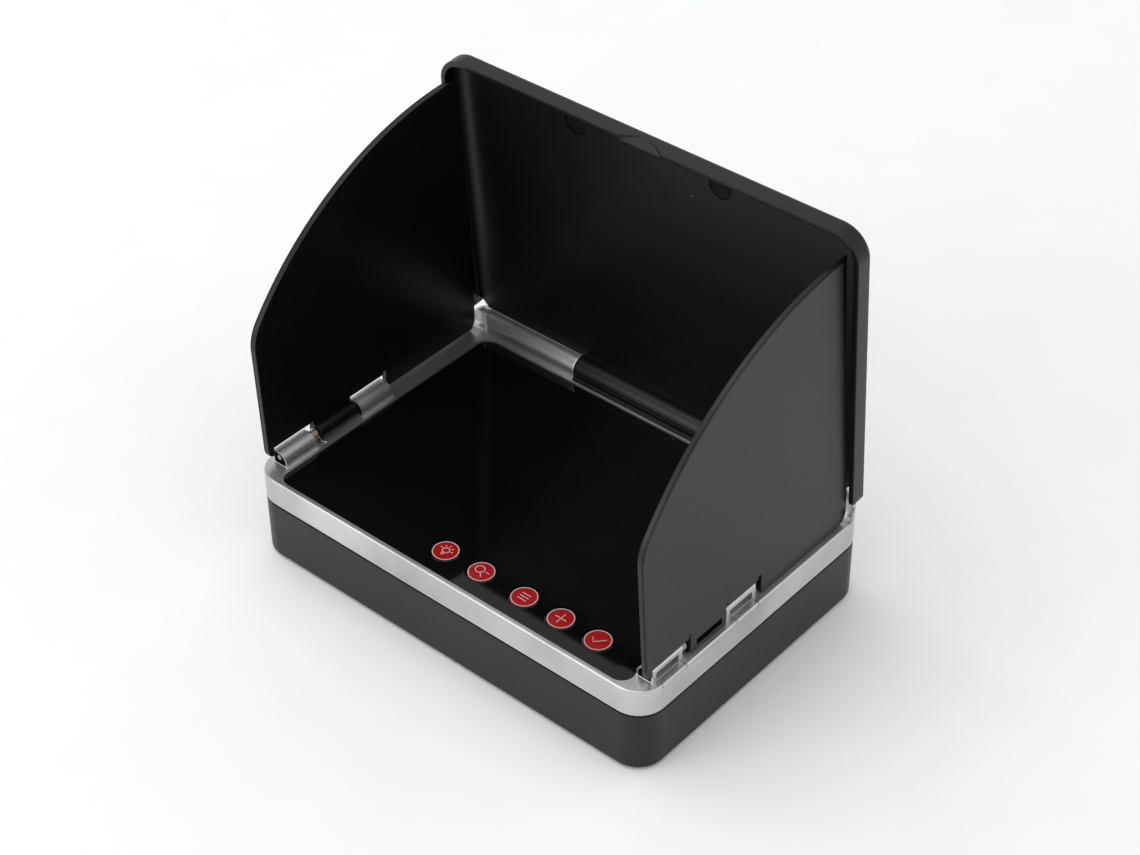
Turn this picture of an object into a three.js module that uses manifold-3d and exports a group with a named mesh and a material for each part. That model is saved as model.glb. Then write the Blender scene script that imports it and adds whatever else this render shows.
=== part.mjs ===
// A pocket video viewer: a flat case with a hooded screen and five keys under its window.
// Units are millimetres. +X runs along the front edge, +Y points to the rear, +Z is up,
// and the origin is the middle of the underside.

import * as THREE from 'three';
import { mergeVertices } from 'three/addons/utils/BufferGeometryUtils.js';
import Module from 'manifold-3d';

const wasm = await Module();
wasm.setup();

// ---- driving dimensions -------------------------------------------------------------------

const WIDTH = 130;
const DEPTH = 88.6;
const CORNER = 7.6;
const CLEAR = 0.15;
const REACH = 200;

const CASE_TOP = 17.6;
const CASE_WALL = 2;
const CASE_FLOOR = 2;
const BOTTOM_EDGE = 1;

const BEZEL_LOW = 18.1;
const BEZEL_TOP = 25.95;
const BEZEL_WALL = 1.8;
const TOP_EDGE = 0.8;

const WINDOW_LEFT = -56.75;
const WINDOW_RIGHT = 57.9;
const WINDOW_FRONT = -42.9;
const WINDOW_REAR = 36.35;
const WINDOW_CORNER = 3.4;
const LEDGE = 1.6;
const LEDGE_LOW = 22.3;
const LEDGE_TOP = 23.9;
const WINDOW_LOW = 24.2;
const WINDOW_TOP = 25.5;

const KEY_Y = -35;
const KEY_SPOTS = { light: -5.7, zoom_out: 6.2, menu: 20.2, plus: 31.9, confirm: 43.5 };
const KEY_R = 4.1;
const KEY_FLANGE_R = 5;
const KEY_FLANGE_LOW = 22.9;
const KEY_FLANGE_TOP = 23.95;
const KEY_STEM_R = 1.2;
const KEY_STEM_LOW = 22.3;

const RIDGE_Y = 40.9;
const RIDGE_Z = 28.2;
const RIDGE_R = 3.4;
const BARREL_HALF = 26.2;
const BARREL_R = 3.3;
const BARREL_GAP = 0.3;
const TROUGH_R = 3.6;
const BARREL_BACK_LOW = 26.6;
const LID_LEAN = 4.6;
const LID_LOW = 3.75;
const LID_HIGH = 86.5;
const LID_BACK = 1.9;
const LID_RIM = -3.1;
const LID_WALL = 1.5;
const LID_PIN_R = 1;
const LID_PIN_HALF = 12;

const WING_X = 60.9;
const WING_Z = 27.9;
const WING_LEAN = 1;
const WING_IN = 0.7;
const WING_OUT = 2.5;
const WING_FOOT = -1.4;
const WING_CUT = 3.2;
const KNUCKLE_R = 2.9;
const KNUCKLE_DROP = 0.9;
const KNUCKLE_END = 1.2;
const FRONT_KNUCKLE = [-38.4, -27.5];
const WING_KNUCKLE = [-24.9, -11.3];
const REAR_KNUCKLE = [-10.7, 0.7];
const WING_BARREL_R = 2.3;
const WING_TROUGH_R = 2.6;
const WING_PIN_R = 0.7;
const SPRING_Y = [-27.05, -25.35];
const SPRING_R = 1.35;
const SPRING_WIRE = 0.26;
const SPRING_TURNS = 3;

const BOSS_X = 57.5;
const BOSS_Y = 36.8;
const BOSS_R = 4;
const BOSS_TOP = 17;
const BEZEL_BOSS_R = 3.3;
const BEZEL_BOSS_LOW = 17.3;
const SCREW_WELL_R = 3.2;
const SCREW_WELL_TOP = 3;
const SCREW_HEAD_R = 2.9;
const SCREW_HEAD_LOW = 0.8;
const SCREW_HEAD_TOP = 2.85;
const SCREW_R = 1.2;
const SCREW_TOP = 21;
const SCREW_PASS_R = 1.6;
const SCREW_BITE_R = 1.35;
const STANDOFF_X = 44;
const STANDOFF_Y = 25;
const STANDOFF_R = 3;
const BOARD_SCREW_R = 0.9;
const BOARD_SCREW_LOW = 8;
const BOARD_SCREW_HEAD_R = 2.2;
const BOARD_HALF_X = 49;
const BOARD_HALF_Y = 29.5;
const BOARD_LOW = 13.4;
const BOARD_TOP = 15;
const SOCKET_X = 38;
const SOCKET_Z = 9.8;
const SOCKET_R = 6;
const JACK_X = 14;
const JACK_Z = 8.9;
const JACK_R = 3.6;
const JACK_BODY_HALF = 4.5;
const JACK_BODY_FRONT = 31;
const JACK_BODY_LOW = 4.4;
const JACK_WELL_R = 2.75;
const SOCKET_DEPTH = 9.5;
const SOCKET_WELL_R = 4.6;
const SOCKET_WELL_DEPTH = 7;
const CONTACT_CIRCLE = 2.2;
const CONTACT_R = 0.5;
const NUT_R = 7.6;
const NUT_THICK = 2.5;

// Inner boxes: low and high X, low and high Y, low and high Z.
const SCREEN_BOX = [-52.75, 52.75, -30.15, 36.95, 19.5, 21.8];
const TRAY_BOX = [-53.5, 53.5, -30.9, 37.7, 17.9, 22];
const TRAY_INSIDE = [-52.95, 52.95, -30.35, 37.15, 19.4, 23];
const KEY_BOARD_BOX = [-12, 51, -40.3, -31.3, 19.4, 20.4];
const PAD_BOX = [-38, 24, -21, 21, 2.1, 2.6];
const CELL_BOX = [-39, 25, -22, 22, 2.7, 10.9];
const CELL_CORNER = 3;
const FILM_HALF = 12;

// ---- solids -------------------------------------------------------------------------------

function solid(geometry) {
  const plain = geometry.index ? geometry.toNonIndexed() : geometry.clone();
  plain.deleteAttribute('normal');
  plain.deleteAttribute('uv');
  const merged = mergeVertices(plain, 1e-4);
  return new wasm.Manifold(new wasm.Mesh({
    numProp: 3,
    vertProperties: new Float32Array(merged.attributes.position.array),
    triVerts: new Uint32Array(merged.index.array),
  }));
}

function geometryOf(body) {
  const mesh = body.getMesh();
  const geometry = new THREE.BufferGeometry();
  geometry.setAttribute('position', new THREE.BufferAttribute(mesh.vertProperties, 3));
  geometry.setIndex(new THREE.BufferAttribute(mesh.triVerts, 1));
  geometry.computeVertexNormals();
  return geometry;
}

function joined(...bodies) {
  return bodies.reduce((sum, body) => sum.add(body));
}

function cutBy(body, ...tools) {
  return tools.reduce((left, tool) => left.subtract(tool), body);
}

// A rectangle with rounded corners, from its low and high corners.
function roundedRect(x0, y0, x1, y1, r) {
  const shape = new THREE.Shape();
  shape.moveTo(x0 + r, y0);
  shape.lineTo(x1 - r, y0);
  shape.absarc(x1 - r, y0 + r, r, -Math.PI / 2, 0);
  shape.lineTo(x1, y1 - r);
  shape.absarc(x1 - r, y1 - r, r, 0, Math.PI / 2);
  shape.lineTo(x0 + r, y1);
  shape.absarc(x0 + r, y1 - r, r, Math.PI / 2, Math.PI);
  shape.lineTo(x0, y0 + r);
  shape.absarc(x0 + r, y0 + r, r, Math.PI, Math.PI * 1.5);
  return shape;
}

function polygon(points) {
  return new THREE.Shape(points.map(([u, v]) => new THREE.Vector2(u, v)));
}

// An outline in X and Y, raised from z0 to z1.
function upright(shape, z0, z1, curveSegments = 6) {
  const geometry = new THREE.ExtrudeGeometry(shape, { depth: z1 - z0, bevelEnabled: false, curveSegments });
  return solid(geometry.translate(0, 0, z0));
}

// An outline in X and Z, drawn out from y0 to y1.
function alongY(shape, y0, y1, curveSegments = 6) {
  const geometry = new THREE.ExtrudeGeometry(shape, { depth: y1 - y0, bevelEnabled: false, curveSegments });
  return solid(geometry.rotateX(Math.PI / 2).translate(0, y1, 0));
}

// An outline in Y and Z, drawn out from x0 to x1.
function alongX(shape, x0, x1, curveSegments = 6) {
  const geometry = new THREE.ExtrudeGeometry(shape, { depth: x1 - x0, bevelEnabled: false, curveSegments });
  const turn = new THREE.Matrix4().makeBasis(
    new THREE.Vector3(0, 1, 0), new THREE.Vector3(0, 0, 1), new THREE.Vector3(1, 0, 0));
  return solid(geometry.applyMatrix4(turn).translate(x0, 0, 0));
}

function block(x0, x1, y0, y1, z0, z1) {
  const geometry = new THREE.BoxGeometry(x1 - x0, y1 - y0, z1 - z0);
  return solid(geometry.translate((x0 + x1) / 2, (y0 + y1) / 2, (z0 + z1) / 2));
}

function post(x, y, r, z0, z1, segments = 16) {
  const geometry = new THREE.CylinderGeometry(r, r, z1 - z0, segments);
  return solid(geometry.rotateX(Math.PI / 2).translate(x, y, (z0 + z1) / 2));
}

function rodY(x, z, r, y0, y1, segments = 16) {
  const geometry = new THREE.CylinderGeometry(r, r, y1 - y0, segments);
  return solid(geometry.translate(x, (y0 + y1) / 2, z));
}

function rodX(y, z, r, x0, x1, segments = 16) {
  const geometry = new THREE.CylinderGeometry(r, r, x1 - x0, segments);
  return solid(geometry.rotateZ(Math.PI / 2).translate((x0 + x1) / 2, y, z));
}

// The outline of the whole case, drawn in by an inset.
function footprint(inset, z0, z1) {
  const x = WIDTH / 2 - inset;
  const y = DEPTH / 2 - inset;
  return upright(roundedRect(-x, -y, x, y, CORNER - inset), z0, z1);
}

// The same outline with its lower or upper rim chamfered.
function chamfered(z0, z1, size, atTop) {
  const x = WIDTH / 2 - size;
  const y = DEPTH / 2 - size;
  const geometry = new THREE.ExtrudeGeometry(roundedRect(-x, -y, x, y, CORNER - size), {
    depth: z1 - z0, bevelEnabled: true, bevelThickness: size, bevelSize: size, bevelSegments: 2,
    curveSegments: 6,
  });
  const from = atTop ? z0 - size : z0 + size;
  const whole = solid(geometry.translate(0, 0, from));
  return whole.intersect(block(-REACH, REACH, -REACH, REACH, z0, z1));
}

// ---- finishes -----------------------------------------------------------------------------

const finish = {
  black: { color: 0x2b2b2d, roughness: 0.55, metalness: 0 },
  silver: { color: 0xb4b4b6, roughness: 0.4, metalness: 0.3 },
  glass: { color: 0x050505, roughness: 0.08, metalness: 0 },
  red: { color: 0x92201f, roughness: 0.3, metalness: 0 },
  steel: { color: 0xa9a6a0, roughness: 0.3, metalness: 1 },
  copper: { color: 0xa7734f, roughness: 0.35, metalness: 1 },
  rubber: { color: 0x141414, roughness: 0.9, metalness: 0 },
  board: { color: 0x1d4a2c, roughness: 0.6, metalness: 0 },
  cell: { color: 0x7d8793, roughness: 0.5, metalness: 0.2 },
  film: { color: 0xb98a3a, roughness: 0.5, metalness: 0 },
};

function part(name, body, look) {
  const mesh = new THREE.Mesh(geometryOf(body), new THREE.MeshStandardMaterial(finish[look]));
  mesh.name = name;
  return mesh;
}

// ---- case and bezel -----------------------------------------------------------------------

const corners = [[-1, -1], [1, -1], [1, 1], [-1, 1]];

function lowerCase() {
  const shell = cutBy(chamfered(0, CASE_TOP, BOTTOM_EDGE, false),
    footprint(CASE_WALL, CASE_FLOOR, CASE_TOP + 1));
  const bosses = corners.map(([i, j]) => post(i * BOSS_X, j * BOSS_Y, BOSS_R, CASE_FLOOR - 0.5, BOSS_TOP));
  const standoffs = corners.map(([i, j]) => (
    post(i * STANDOFF_X, j * STANDOFF_Y, STANDOFF_R, CASE_FLOOR - 0.5, BOARD_LOW - CLEAR)));
  const body = joined(shell, ...bosses, ...standoffs);
  const screwHoles = corners.flatMap(([i, j]) => [
    post(i * BOSS_X, j * BOSS_Y, SCREW_PASS_R, -1, CASE_TOP),
    post(i * BOSS_X, j * BOSS_Y, SCREW_WELL_R, -1, SCREW_WELL_TOP),
    post(i * STANDOFF_X, j * STANDOFF_Y, BOARD_SCREW_R + 0.2, BOARD_SCREW_LOW - 2, BOARD_TOP),
  ]);
  const rear = DEPTH / 2;
  return cutBy(body, ...screwHoles,
    rodY(SOCKET_X, SOCKET_Z, SOCKET_R + CLEAR, rear - 4, rear + 4, 24),
    rodY(JACK_X, JACK_Z, JACK_R + CLEAR, rear - 4, rear + 4, 24));
}

function caseSeal() {
  return cutBy(footprint(0.8, CASE_TOP + 0.06, BEZEL_LOW - 0.06), footprint(CASE_WALL, CASE_TOP, BEZEL_LOW));
}

// The raised barrel housing along the rear edge, with rounded ends that follow the case corners.
function rearRidge() {
  const shape = new THREE.Shape();
  shape.moveTo(RIDGE_Y - RIDGE_R, BEZEL_TOP - 1);
  shape.lineTo(RIDGE_Y + RIDGE_R, BEZEL_TOP - 1);
  shape.lineTo(RIDGE_Y + RIDGE_R, RIDGE_Z);
  shape.absarc(RIDGE_Y, RIDGE_Z, RIDGE_R, 0, Math.PI);
  const bar = alongX(shape, -WIDTH / 2, WIDTH / 2, 9);
  return bar.intersect(footprint(0, BEZEL_LOW, REACH));
}

// One fixed hinge knuckle: a rounded housing, open on its outer side.
function knuckle(side, [y0, y1]) {
  const low = WING_Z - KNUCKLE_DROP;
  const shape = new THREE.Shape();
  shape.moveTo(side * WING_X - KNUCKLE_R, BEZEL_TOP - 1);
  shape.lineTo(side * WING_X + KNUCKLE_R, BEZEL_TOP - 1);
  shape.lineTo(side * WING_X + KNUCKLE_R, low);
  shape.absarc(side * WING_X, low, KNUCKLE_R, 0, Math.PI);
  const housing = alongY(shape, y0, y1, 8);
  const inner = side * (WING_X - 1.5);
  const outer = side * (WING_X + 4);
  const pocket = block(Math.min(inner, outer), Math.max(inner, outer), y0 + KNUCKLE_END, y1 - KNUCKLE_END,
    BEZEL_TOP + 0.2, WING_Z + 1);
  return cutBy(housing, pocket);
}

function bezelFrame() {
  const rim = cutBy(chamfered(BEZEL_LOW, BEZEL_TOP, TOP_EDGE, true),
    footprint(BEZEL_WALL, BEZEL_LOW - 1, LEDGE_LOW));
  const bosses = corners.map(([i, j]) => (
    post(i * BOSS_X, j * BOSS_Y, BEZEL_BOSS_R, BEZEL_BOSS_LOW, LEDGE_LOW + 0.5)));
  const knuckles = [-1, 1].flatMap((side) => [knuckle(side, FRONT_KNUCKLE), knuckle(side, REAR_KNUCKLE)]);
  const body = joined(rim, rearRidge(), ...bosses, ...knuckles);
  const recess = upright(windowOutline(0), LEDGE_TOP, BEZEL_TOP + 1);
  const sight = upright(windowOutline(LEDGE), LEDGE_LOW - 1, LEDGE_TOP + 1);
  const pinHoles = [-1, 1].flatMap((side) => [
    rodY(side * WING_X, WING_Z, WING_PIN_R + 0.1, FRONT_KNUCKLE[0] - 1, REAR_KNUCKLE[1] - 0.5, 12),
    rodY(side * WING_X, WING_Z, WING_TROUGH_R, WING_KNUCKLE[0] - 0.3, WING_KNUCKLE[1] + 0.3, 20),
  ]);
  const half = BARREL_HALF + BARREL_GAP;
  const lidPinReach = BARREL_HALF + LID_PIN_HALF + 0.5;
  const screwHoles = corners.map(([i, j]) => (
    post(i * BOSS_X, j * BOSS_Y, SCREW_BITE_R, BOSS_TOP, SCREW_TOP + 1)));
  return cutBy(body, recess, sight, ...pinHoles, ...screwHoles,
    rodX(RIDGE_Y, RIDGE_Z, TROUGH_R, -half, half, 28),
    block(-half, half, RIDGE_Y - TROUGH_R, REACH, RIDGE_Z, REACH),
    block(-half, half, RIDGE_Y, REACH, BARREL_BACK_LOW, REACH),
    rodX(RIDGE_Y, RIDGE_Z, LID_PIN_R + 0.15, -lidPinReach, lidPinReach));
}

// ---- window, screen and keys --------------------------------------------------------------

function windowOutline(inset) {
  return roundedRect(WINDOW_LEFT + inset, WINDOW_FRONT + inset, WINDOW_RIGHT - inset, WINDOW_REAR - inset,
    WINDOW_CORNER - inset);
}

function displayWindow() {
  const sheet = upright(windowOutline(CLEAR), WINDOW_LOW, WINDOW_TOP);
  const holes = Object.values(KEY_SPOTS).map((x) => (
    post(x, KEY_Y, KEY_R + CLEAR, WINDOW_LOW - 1, WINDOW_TOP + 1, 32)));
  return cutBy(sheet, ...holes);
}

function windowTape() {
  return cutBy(upright(windowOutline(0.4), LEDGE_TOP + 0.05, WINDOW_LOW - 0.05),
    upright(windowOutline(LEDGE + 0.1), LEDGE_TOP, WINDOW_LOW));
}

function keyCap(x) {
  return joined(
    post(x, KEY_Y, KEY_R, KEY_FLANGE_TOP - 0.3, WINDOW_TOP, 32),
    post(x, KEY_Y, KEY_FLANGE_R, KEY_FLANGE_LOW, KEY_FLANGE_TOP, 24),
    post(x, KEY_Y, KEY_STEM_R, KEY_STEM_LOW, KEY_FLANGE_LOW + 0.3, 12));
}

function keySwitch(x) {
  const half = 2.3;
  return joined(block(x - half, x + half, KEY_Y - half, KEY_Y + half, 20.55, 21.4),
    post(x, KEY_Y, 1, 21.2, 21.9, 12));
}

function lightTray() {
  return cutBy(block(...TRAY_BOX), block(...TRAY_INSIDE));
}

// The film cable that folds back under the screen to the main board.
function filmCable() {
  const shape = polygon([
    [2, 17.3], [19, 17.3], [19, 15.5], [8, 15.5], [8, 15.2], [19.3, 15.2], [19.3, 17.6], [2, 17.6],
  ]);
  return alongX(shape, -FILM_HALF, FILM_HALF);
}

// ---- electronics --------------------------------------------------------------------------

function mainBoard() {
  const sheet = block(-BOARD_HALF_X, BOARD_HALF_X, -BOARD_HALF_Y, BOARD_HALF_Y, BOARD_LOW, BOARD_TOP);
  const holes = corners.map(([i, j]) => (
    post(i * STANDOFF_X, j * STANDOFF_Y, BOARD_SCREW_R + 0.5, BOARD_LOW - 1, BOARD_TOP + 1)));
  return cutBy(sheet, ...holes);
}

function batteryPack() {
  const [x0, x1, y0, y1, z0, z1] = CELL_BOX;
  return upright(roundedRect(x0, y0, x1, y1, CELL_CORNER), z0, z1, 3);
}

function boardScrew([i, j]) {
  const x = i * STANDOFF_X;
  const y = j * STANDOFF_Y;
  return joined(post(x, y, BOARD_SCREW_HEAD_R, BOARD_TOP + 0.05, BOARD_TOP + 1.4, 12),
    post(x, y, BOARD_SCREW_R, BOARD_SCREW_LOW, BOARD_TOP + 0.5, 8));
}

function caseScrew([i, j]) {
  const x = i * BOSS_X;
  const y = j * BOSS_Y;
  const driveRecess = post(x, y, 0.9, 0.3, 1.5, 6);
  return cutBy(joined(post(x, y, SCREW_HEAD_R, SCREW_HEAD_LOW, SCREW_HEAD_TOP),
    post(x, y, SCREW_R, SCREW_HEAD_TOP - 0.25, SCREW_TOP, 10)), driveRecess);
}

// A round panel socket with four contact pins at the bottom of its well.
function cameraSocket() {
  const face = DEPTH / 2 - 0.05;
  const well = rodY(SOCKET_X, SOCKET_Z, SOCKET_WELL_R, face - SOCKET_WELL_DEPTH, face + 1, 24);
  const barrel = cutBy(rodY(SOCKET_X, SOCKET_Z, SOCKET_R, face - SOCKET_DEPTH, face, 24), well);
  const pins = [45, 135, 225, 315].map((angle) => {
    const turn = THREE.MathUtils.degToRad(angle);
    return rodY(SOCKET_X + CONTACT_CIRCLE * Math.cos(turn), SOCKET_Z + CONTACT_CIRCLE * Math.sin(turn),
      CONTACT_R, face - SOCKET_WELL_DEPTH - 1, face - SOCKET_WELL_DEPTH + 3, 8);
  });
  return joined(barrel, ...pins);
}

function socketNut() {
  const inside = DEPTH / 2 - CASE_WALL;
  const hexagon = rodY(SOCKET_X, SOCKET_Z, NUT_R, inside - NUT_THICK - 0.1, inside - 0.1, 6);
  return cutBy(hexagon, rodY(SOCKET_X, SOCKET_Z, SOCKET_R + CLEAR, inside - 4, inside + 1, 24));
}

function chargeJack() {
  const face = DEPTH / 2 - 0.05;
  const housing = joined(block(JACK_X - JACK_BODY_HALF, JACK_X + JACK_BODY_HALF, JACK_BODY_FRONT,
    face - CASE_WALL - 0.1, JACK_BODY_LOW, BOARD_LOW - 0.1),
  rodY(JACK_X, JACK_Z, JACK_R, JACK_BODY_FRONT + 3, face, 24));
  const well = rodY(JACK_X, JACK_Z, JACK_WELL_R, face - 9, face + 1, 20);
  return joined(cutBy(housing, well), rodY(JACK_X, JACK_Z, 0.8, face - 10, face - 1.2, 8));
}

// ---- hood ---------------------------------------------------------------------------------

// The lid is drawn upright about its hinge line and then leaned forward as a whole.
function hoodLid() {
  const r = CORNER;
  const half = WIDTH / 2;
  const outline = (inset, low) => {
    const shape = new THREE.Shape();
    const x = half - inset;
    const top = LID_HIGH - inset;
    shape.moveTo(-x, low);
    shape.lineTo(x, low);
    shape.lineTo(x, top - r + inset);
    shape.absarc(x - r + inset, top - r + inset, r - inset, 0, Math.PI / 2);
    shape.lineTo(-x + r - inset, top);
    shape.absarc(-x + r - inset, top - r + inset, r - inset, Math.PI / 2, Math.PI);
    return shape;
  };
  const tray = cutBy(alongY(outline(0, LID_LOW), LID_RIM, LID_BACK),
    alongY(outline(LID_WALL, LID_LOW - 5), LID_RIM - 1, LID_BACK - LID_WALL));
  const barrel = rodX(0, 0, BARREL_R, -BARREL_HALF, BARREL_HALF, 28);
  const web = block(-BARREL_HALF, BARREL_HALF, LID_BACK - LID_WALL, LID_BACK, 0, LID_LOW + 1);
  const holes = [-1, 1].map((side) => {
    const ends = [side * (BARREL_HALF + 1), side * (BARREL_HALF - LID_PIN_HALF - 0.4)].sort((a, b) => a - b);
    return rodX(0, 0, LID_PIN_R + 0.08, ends[0], ends[1]);
  });
  return cutBy(joined(tray, barrel, web), ...holes);
}

// The side panel's outline in Y and height above its hinge line.
function wingOutline() {
  const arcY = 32.1;
  const arcZ = -9.4;
  const arcR = 89.3;
  const rearTop = new THREE.Vector2(29.7, Math.sqrt(arcR ** 2 - (29.7 - arcY) ** 2) + arcZ);
  const startY = -40.2;
  const startZ = Math.sqrt(arcR ** 2 - (startY - arcY) ** 2) + arcZ;
  const frontAngle = Math.atan2(startZ - arcZ, startY - arcY);
  const rearAngle = Math.atan2(rearTop.y - arcZ, rearTop.x - arcY);
  const shape = new THREE.Shape();
  shape.moveTo(34.2, WING_FOOT);
  shape.lineTo(37.1, 1.8);
  shape.lineTo(37.1, 6.1);
  shape.lineTo(rearTop.x, rearTop.y);
  shape.absarc(arcY, arcZ, arcR, rearAngle, frontAngle, false);
  shape.quadraticCurveTo(-42.3, startZ - 3.2, -42.3, startZ - 7);
  shape.lineTo(-41, 3.4);
  shape.quadraticCurveTo(-40.9, 0.6, -38.9, 0.6);
  shape.lineTo(-38.9, WING_CUT);
  shape.lineTo(WING_KNUCKLE[0], WING_CUT);
  shape.lineTo(WING_KNUCKLE[0], WING_FOOT);
  shape.lineTo(WING_KNUCKLE[1], WING_FOOT);
  shape.lineTo(WING_KNUCKLE[1], WING_CUT);
  shape.lineTo(3.4, WING_CUT);
  shape.lineTo(3.4, WING_FOOT);
  return shape;
}

// A side panel about its own hinge line. Its foot carries the moving knuckle, slotted on the outside.
function hoodWing(side) {
  const spans = side > 0 ? [WING_IN, WING_OUT] : [-WING_OUT, -WING_IN];
  const panel = alongX(wingOutline(), spans[0], spans[1], 20);
  const barrel = rodY(0, 0, WING_BARREL_R, WING_KNUCKLE[0], WING_KNUCKLE[1], 24);
  const slot = side > 0 ? [1.4, 4] : [-4, -1.4];
  return cutBy(joined(panel, barrel),
    block(slot[0], slot[1], WING_KNUCKLE[0] + 2.3, WING_KNUCKLE[1] - 1.8, -0.6, 1),
    rodY(0, 0, WING_PIN_R + 0.08, WING_KNUCKLE[0] - 1, WING_KNUCKLE[1] + 1, 12));
}

function wingPin(side) {
  return rodY(side * WING_X, WING_Z, WING_PIN_R, FRONT_KNUCKLE[0] + 0.2, REAR_KNUCKLE[1] - 0.7, 12);
}

function lidPin(side) {
  const middle = side * (BARREL_HALF + BARREL_GAP / 2);
  return rodX(RIDGE_Y, RIDGE_Z, LID_PIN_R, middle - LID_PIN_HALF, middle + LID_PIN_HALF);
}

class Coil extends THREE.Curve {
  constructor(side) {
    super();
    this.side = side;
  }

  getPoint(t, target = new THREE.Vector3()) {
    const angle = this.side * t * SPRING_TURNS * Math.PI * 2;
    return target.set(this.side * WING_X - this.side * SPRING_R * Math.cos(angle),
      THREE.MathUtils.lerp(SPRING_Y[0], SPRING_Y[1], t), WING_Z + SPRING_R * Math.sin(angle));
  }
}

function wingSpring(side) {
  const wire = new THREE.Shape();
  wire.absarc(0, 0, SPRING_WIRE, 0, Math.PI * 2);
  const geometry = new THREE.ExtrudeGeometry(wire, {
    steps: SPRING_TURNS * 16, extrudePath: new Coil(side), curveSegments: 3,
  });
  return solid(geometry);
}

// ---- assembly -----------------------------------------------------------------------------

const viewer = new THREE.Group();
viewer.add(
  part('lower_case', lowerCase(), 'black'),
  part('case_seal', caseSeal(), 'rubber'),
  part('bezel_frame', bezelFrame(), 'silver'),
  part('display_window', displayWindow(), 'glass'),
  part('window_tape', windowTape(), 'rubber'),
  part('screen_panel', block(...SCREEN_BOX), 'glass'),
  part('light_tray', lightTray(), 'steel'),
  part('film_cable', filmCable(), 'film'),
  part('key_board', block(...KEY_BOARD_BOX), 'board'),
  part('main_board', mainBoard(), 'board'),
  part('battery_pad', block(...PAD_BOX), 'rubber'),
  part('battery_pack', batteryPack(), 'cell'),
  part('camera_socket', cameraSocket(), 'steel'),
  part('socket_nut', socketNut(), 'steel'),
  part('charge_jack', chargeJack(), 'rubber'),
);

Object.entries(KEY_SPOTS).forEach(([name, x], index) => {
  viewer.add(part(`key_${name}`, keyCap(x), 'red'), part(`key_switch_${index + 1}`, keySwitch(x), 'rubber'));
});

corners.forEach((corner, index) => {
  viewer.add(part(`case_screw_${index + 1}`, caseScrew(corner), 'steel'),
    part(`board_screw_${index + 1}`, boardScrew(corner), 'steel'));
});

for (const [name, side] of [['left', -1], ['right', 1]]) {
  const hinge = new THREE.Group();
  hinge.position.set(side * WING_X, 0, WING_Z);
  hinge.rotation.y = THREE.MathUtils.degToRad(-side * WING_LEAN);
  hinge.add(part(`${name}_wing`, hoodWing(side), 'black'));
  viewer.add(hinge, part(`${name}_wing_pin`, wingPin(side), 'steel'),
    part(`${name}_wing_spring`, wingSpring(side), 'copper'), part(`lid_pin_${name}`, lidPin(side), 'steel'));
}

const lidHinge = new THREE.Group();
lidHinge.position.set(0, RIDGE_Y, RIDGE_Z);
lidHinge.rotation.x = THREE.MathUtils.degToRad(LID_LEAN);
lidHinge.add(part('hood_lid', hoodLid(), 'black'));
viewer.add(lidHinge);

export default viewer;
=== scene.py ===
# %% [markdown]
# # A pocket video viewer with a folding hood
# The real object is a flat black case with a silver bezel, a glossy window over a small
# screen, five red keys, and a black hood of one lid and two side wings that shade the
# window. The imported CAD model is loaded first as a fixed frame: every finished piece
# below takes its place and its size from that frame, in metres.

# %% Load the frame
import math
import bmesh
import bpy
from mathutils import Matrix, Vector


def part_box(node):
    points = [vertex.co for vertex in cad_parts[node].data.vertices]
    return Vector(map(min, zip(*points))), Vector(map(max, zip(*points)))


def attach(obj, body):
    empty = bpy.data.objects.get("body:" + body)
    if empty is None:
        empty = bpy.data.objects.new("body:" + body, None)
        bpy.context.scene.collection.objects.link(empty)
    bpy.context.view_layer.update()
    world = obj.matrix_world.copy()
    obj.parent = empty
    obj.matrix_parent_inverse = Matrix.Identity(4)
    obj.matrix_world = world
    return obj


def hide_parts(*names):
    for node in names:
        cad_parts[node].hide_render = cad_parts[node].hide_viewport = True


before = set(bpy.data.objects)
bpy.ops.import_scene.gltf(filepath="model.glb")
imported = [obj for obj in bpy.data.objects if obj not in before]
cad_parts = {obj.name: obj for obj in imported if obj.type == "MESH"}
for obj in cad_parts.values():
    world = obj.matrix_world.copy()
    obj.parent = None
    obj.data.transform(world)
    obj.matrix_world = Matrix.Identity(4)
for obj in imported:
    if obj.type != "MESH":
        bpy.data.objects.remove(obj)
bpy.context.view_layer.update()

# %% [markdown]
# ## Measures
# The same driving dimensions as the CAD source, in millimetres, so that fillets and
# seams land exactly on the faces they belong to. Where the frame can answer, it does:
# the size of the case and the place of the window are read from the CAD nodes.

# %% Driving dimensions
MM = 0.001
case_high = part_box("lower_case")[1]
HALF_X = case_high.x / MM
HALF_Y = case_high.y / MM
CASE_TOP = case_high.z / MM
BEZEL_LOW = 18.1
BEZEL_TOP = 25.95
CORNER = 7.6
RIDGE_Y, RIDGE_Z, RIDGE_R = 40.9, 28.2, 3.4
RIDGE_FRONT = RIDGE_Y - RIDGE_R
TROUGH_R, TROUGH_HALF = 3.6, 26.5
WINDOW_GAP = 0.15
window_low, window_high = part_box("display_window")
WINDOW_LEFT = window_low.x / MM - WINDOW_GAP
WINDOW_RIGHT = window_high.x / MM + WINDOW_GAP
WINDOW_FRONT = window_low.y / MM - WINDOW_GAP
WINDOW_REAR = window_high.y / MM + WINDOW_GAP
WINDOW_TOP = window_high.z / MM
WINDOW_CORNER = 3.4
LEDGE_TOP = 23.9
BARREL_HALF = 26.2
BARREL_R = 3.3
WING_X, WING_Z, WING_LEAN = 60.9, 27.9, 1.0
FRONT_KNUCKLE = (-38.4, -27.5)
WING_KNUCKLE = (-24.9, -11.3)
REAR_KNUCKLE = (-10.7, 0.7)
LID_LEAN = 4.6
LID_LOW, LID_HIGH = 3.75, 86.5
LID_BACK, LID_RIM, LID_WALL = 1.9, -3.1, 1.5
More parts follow.
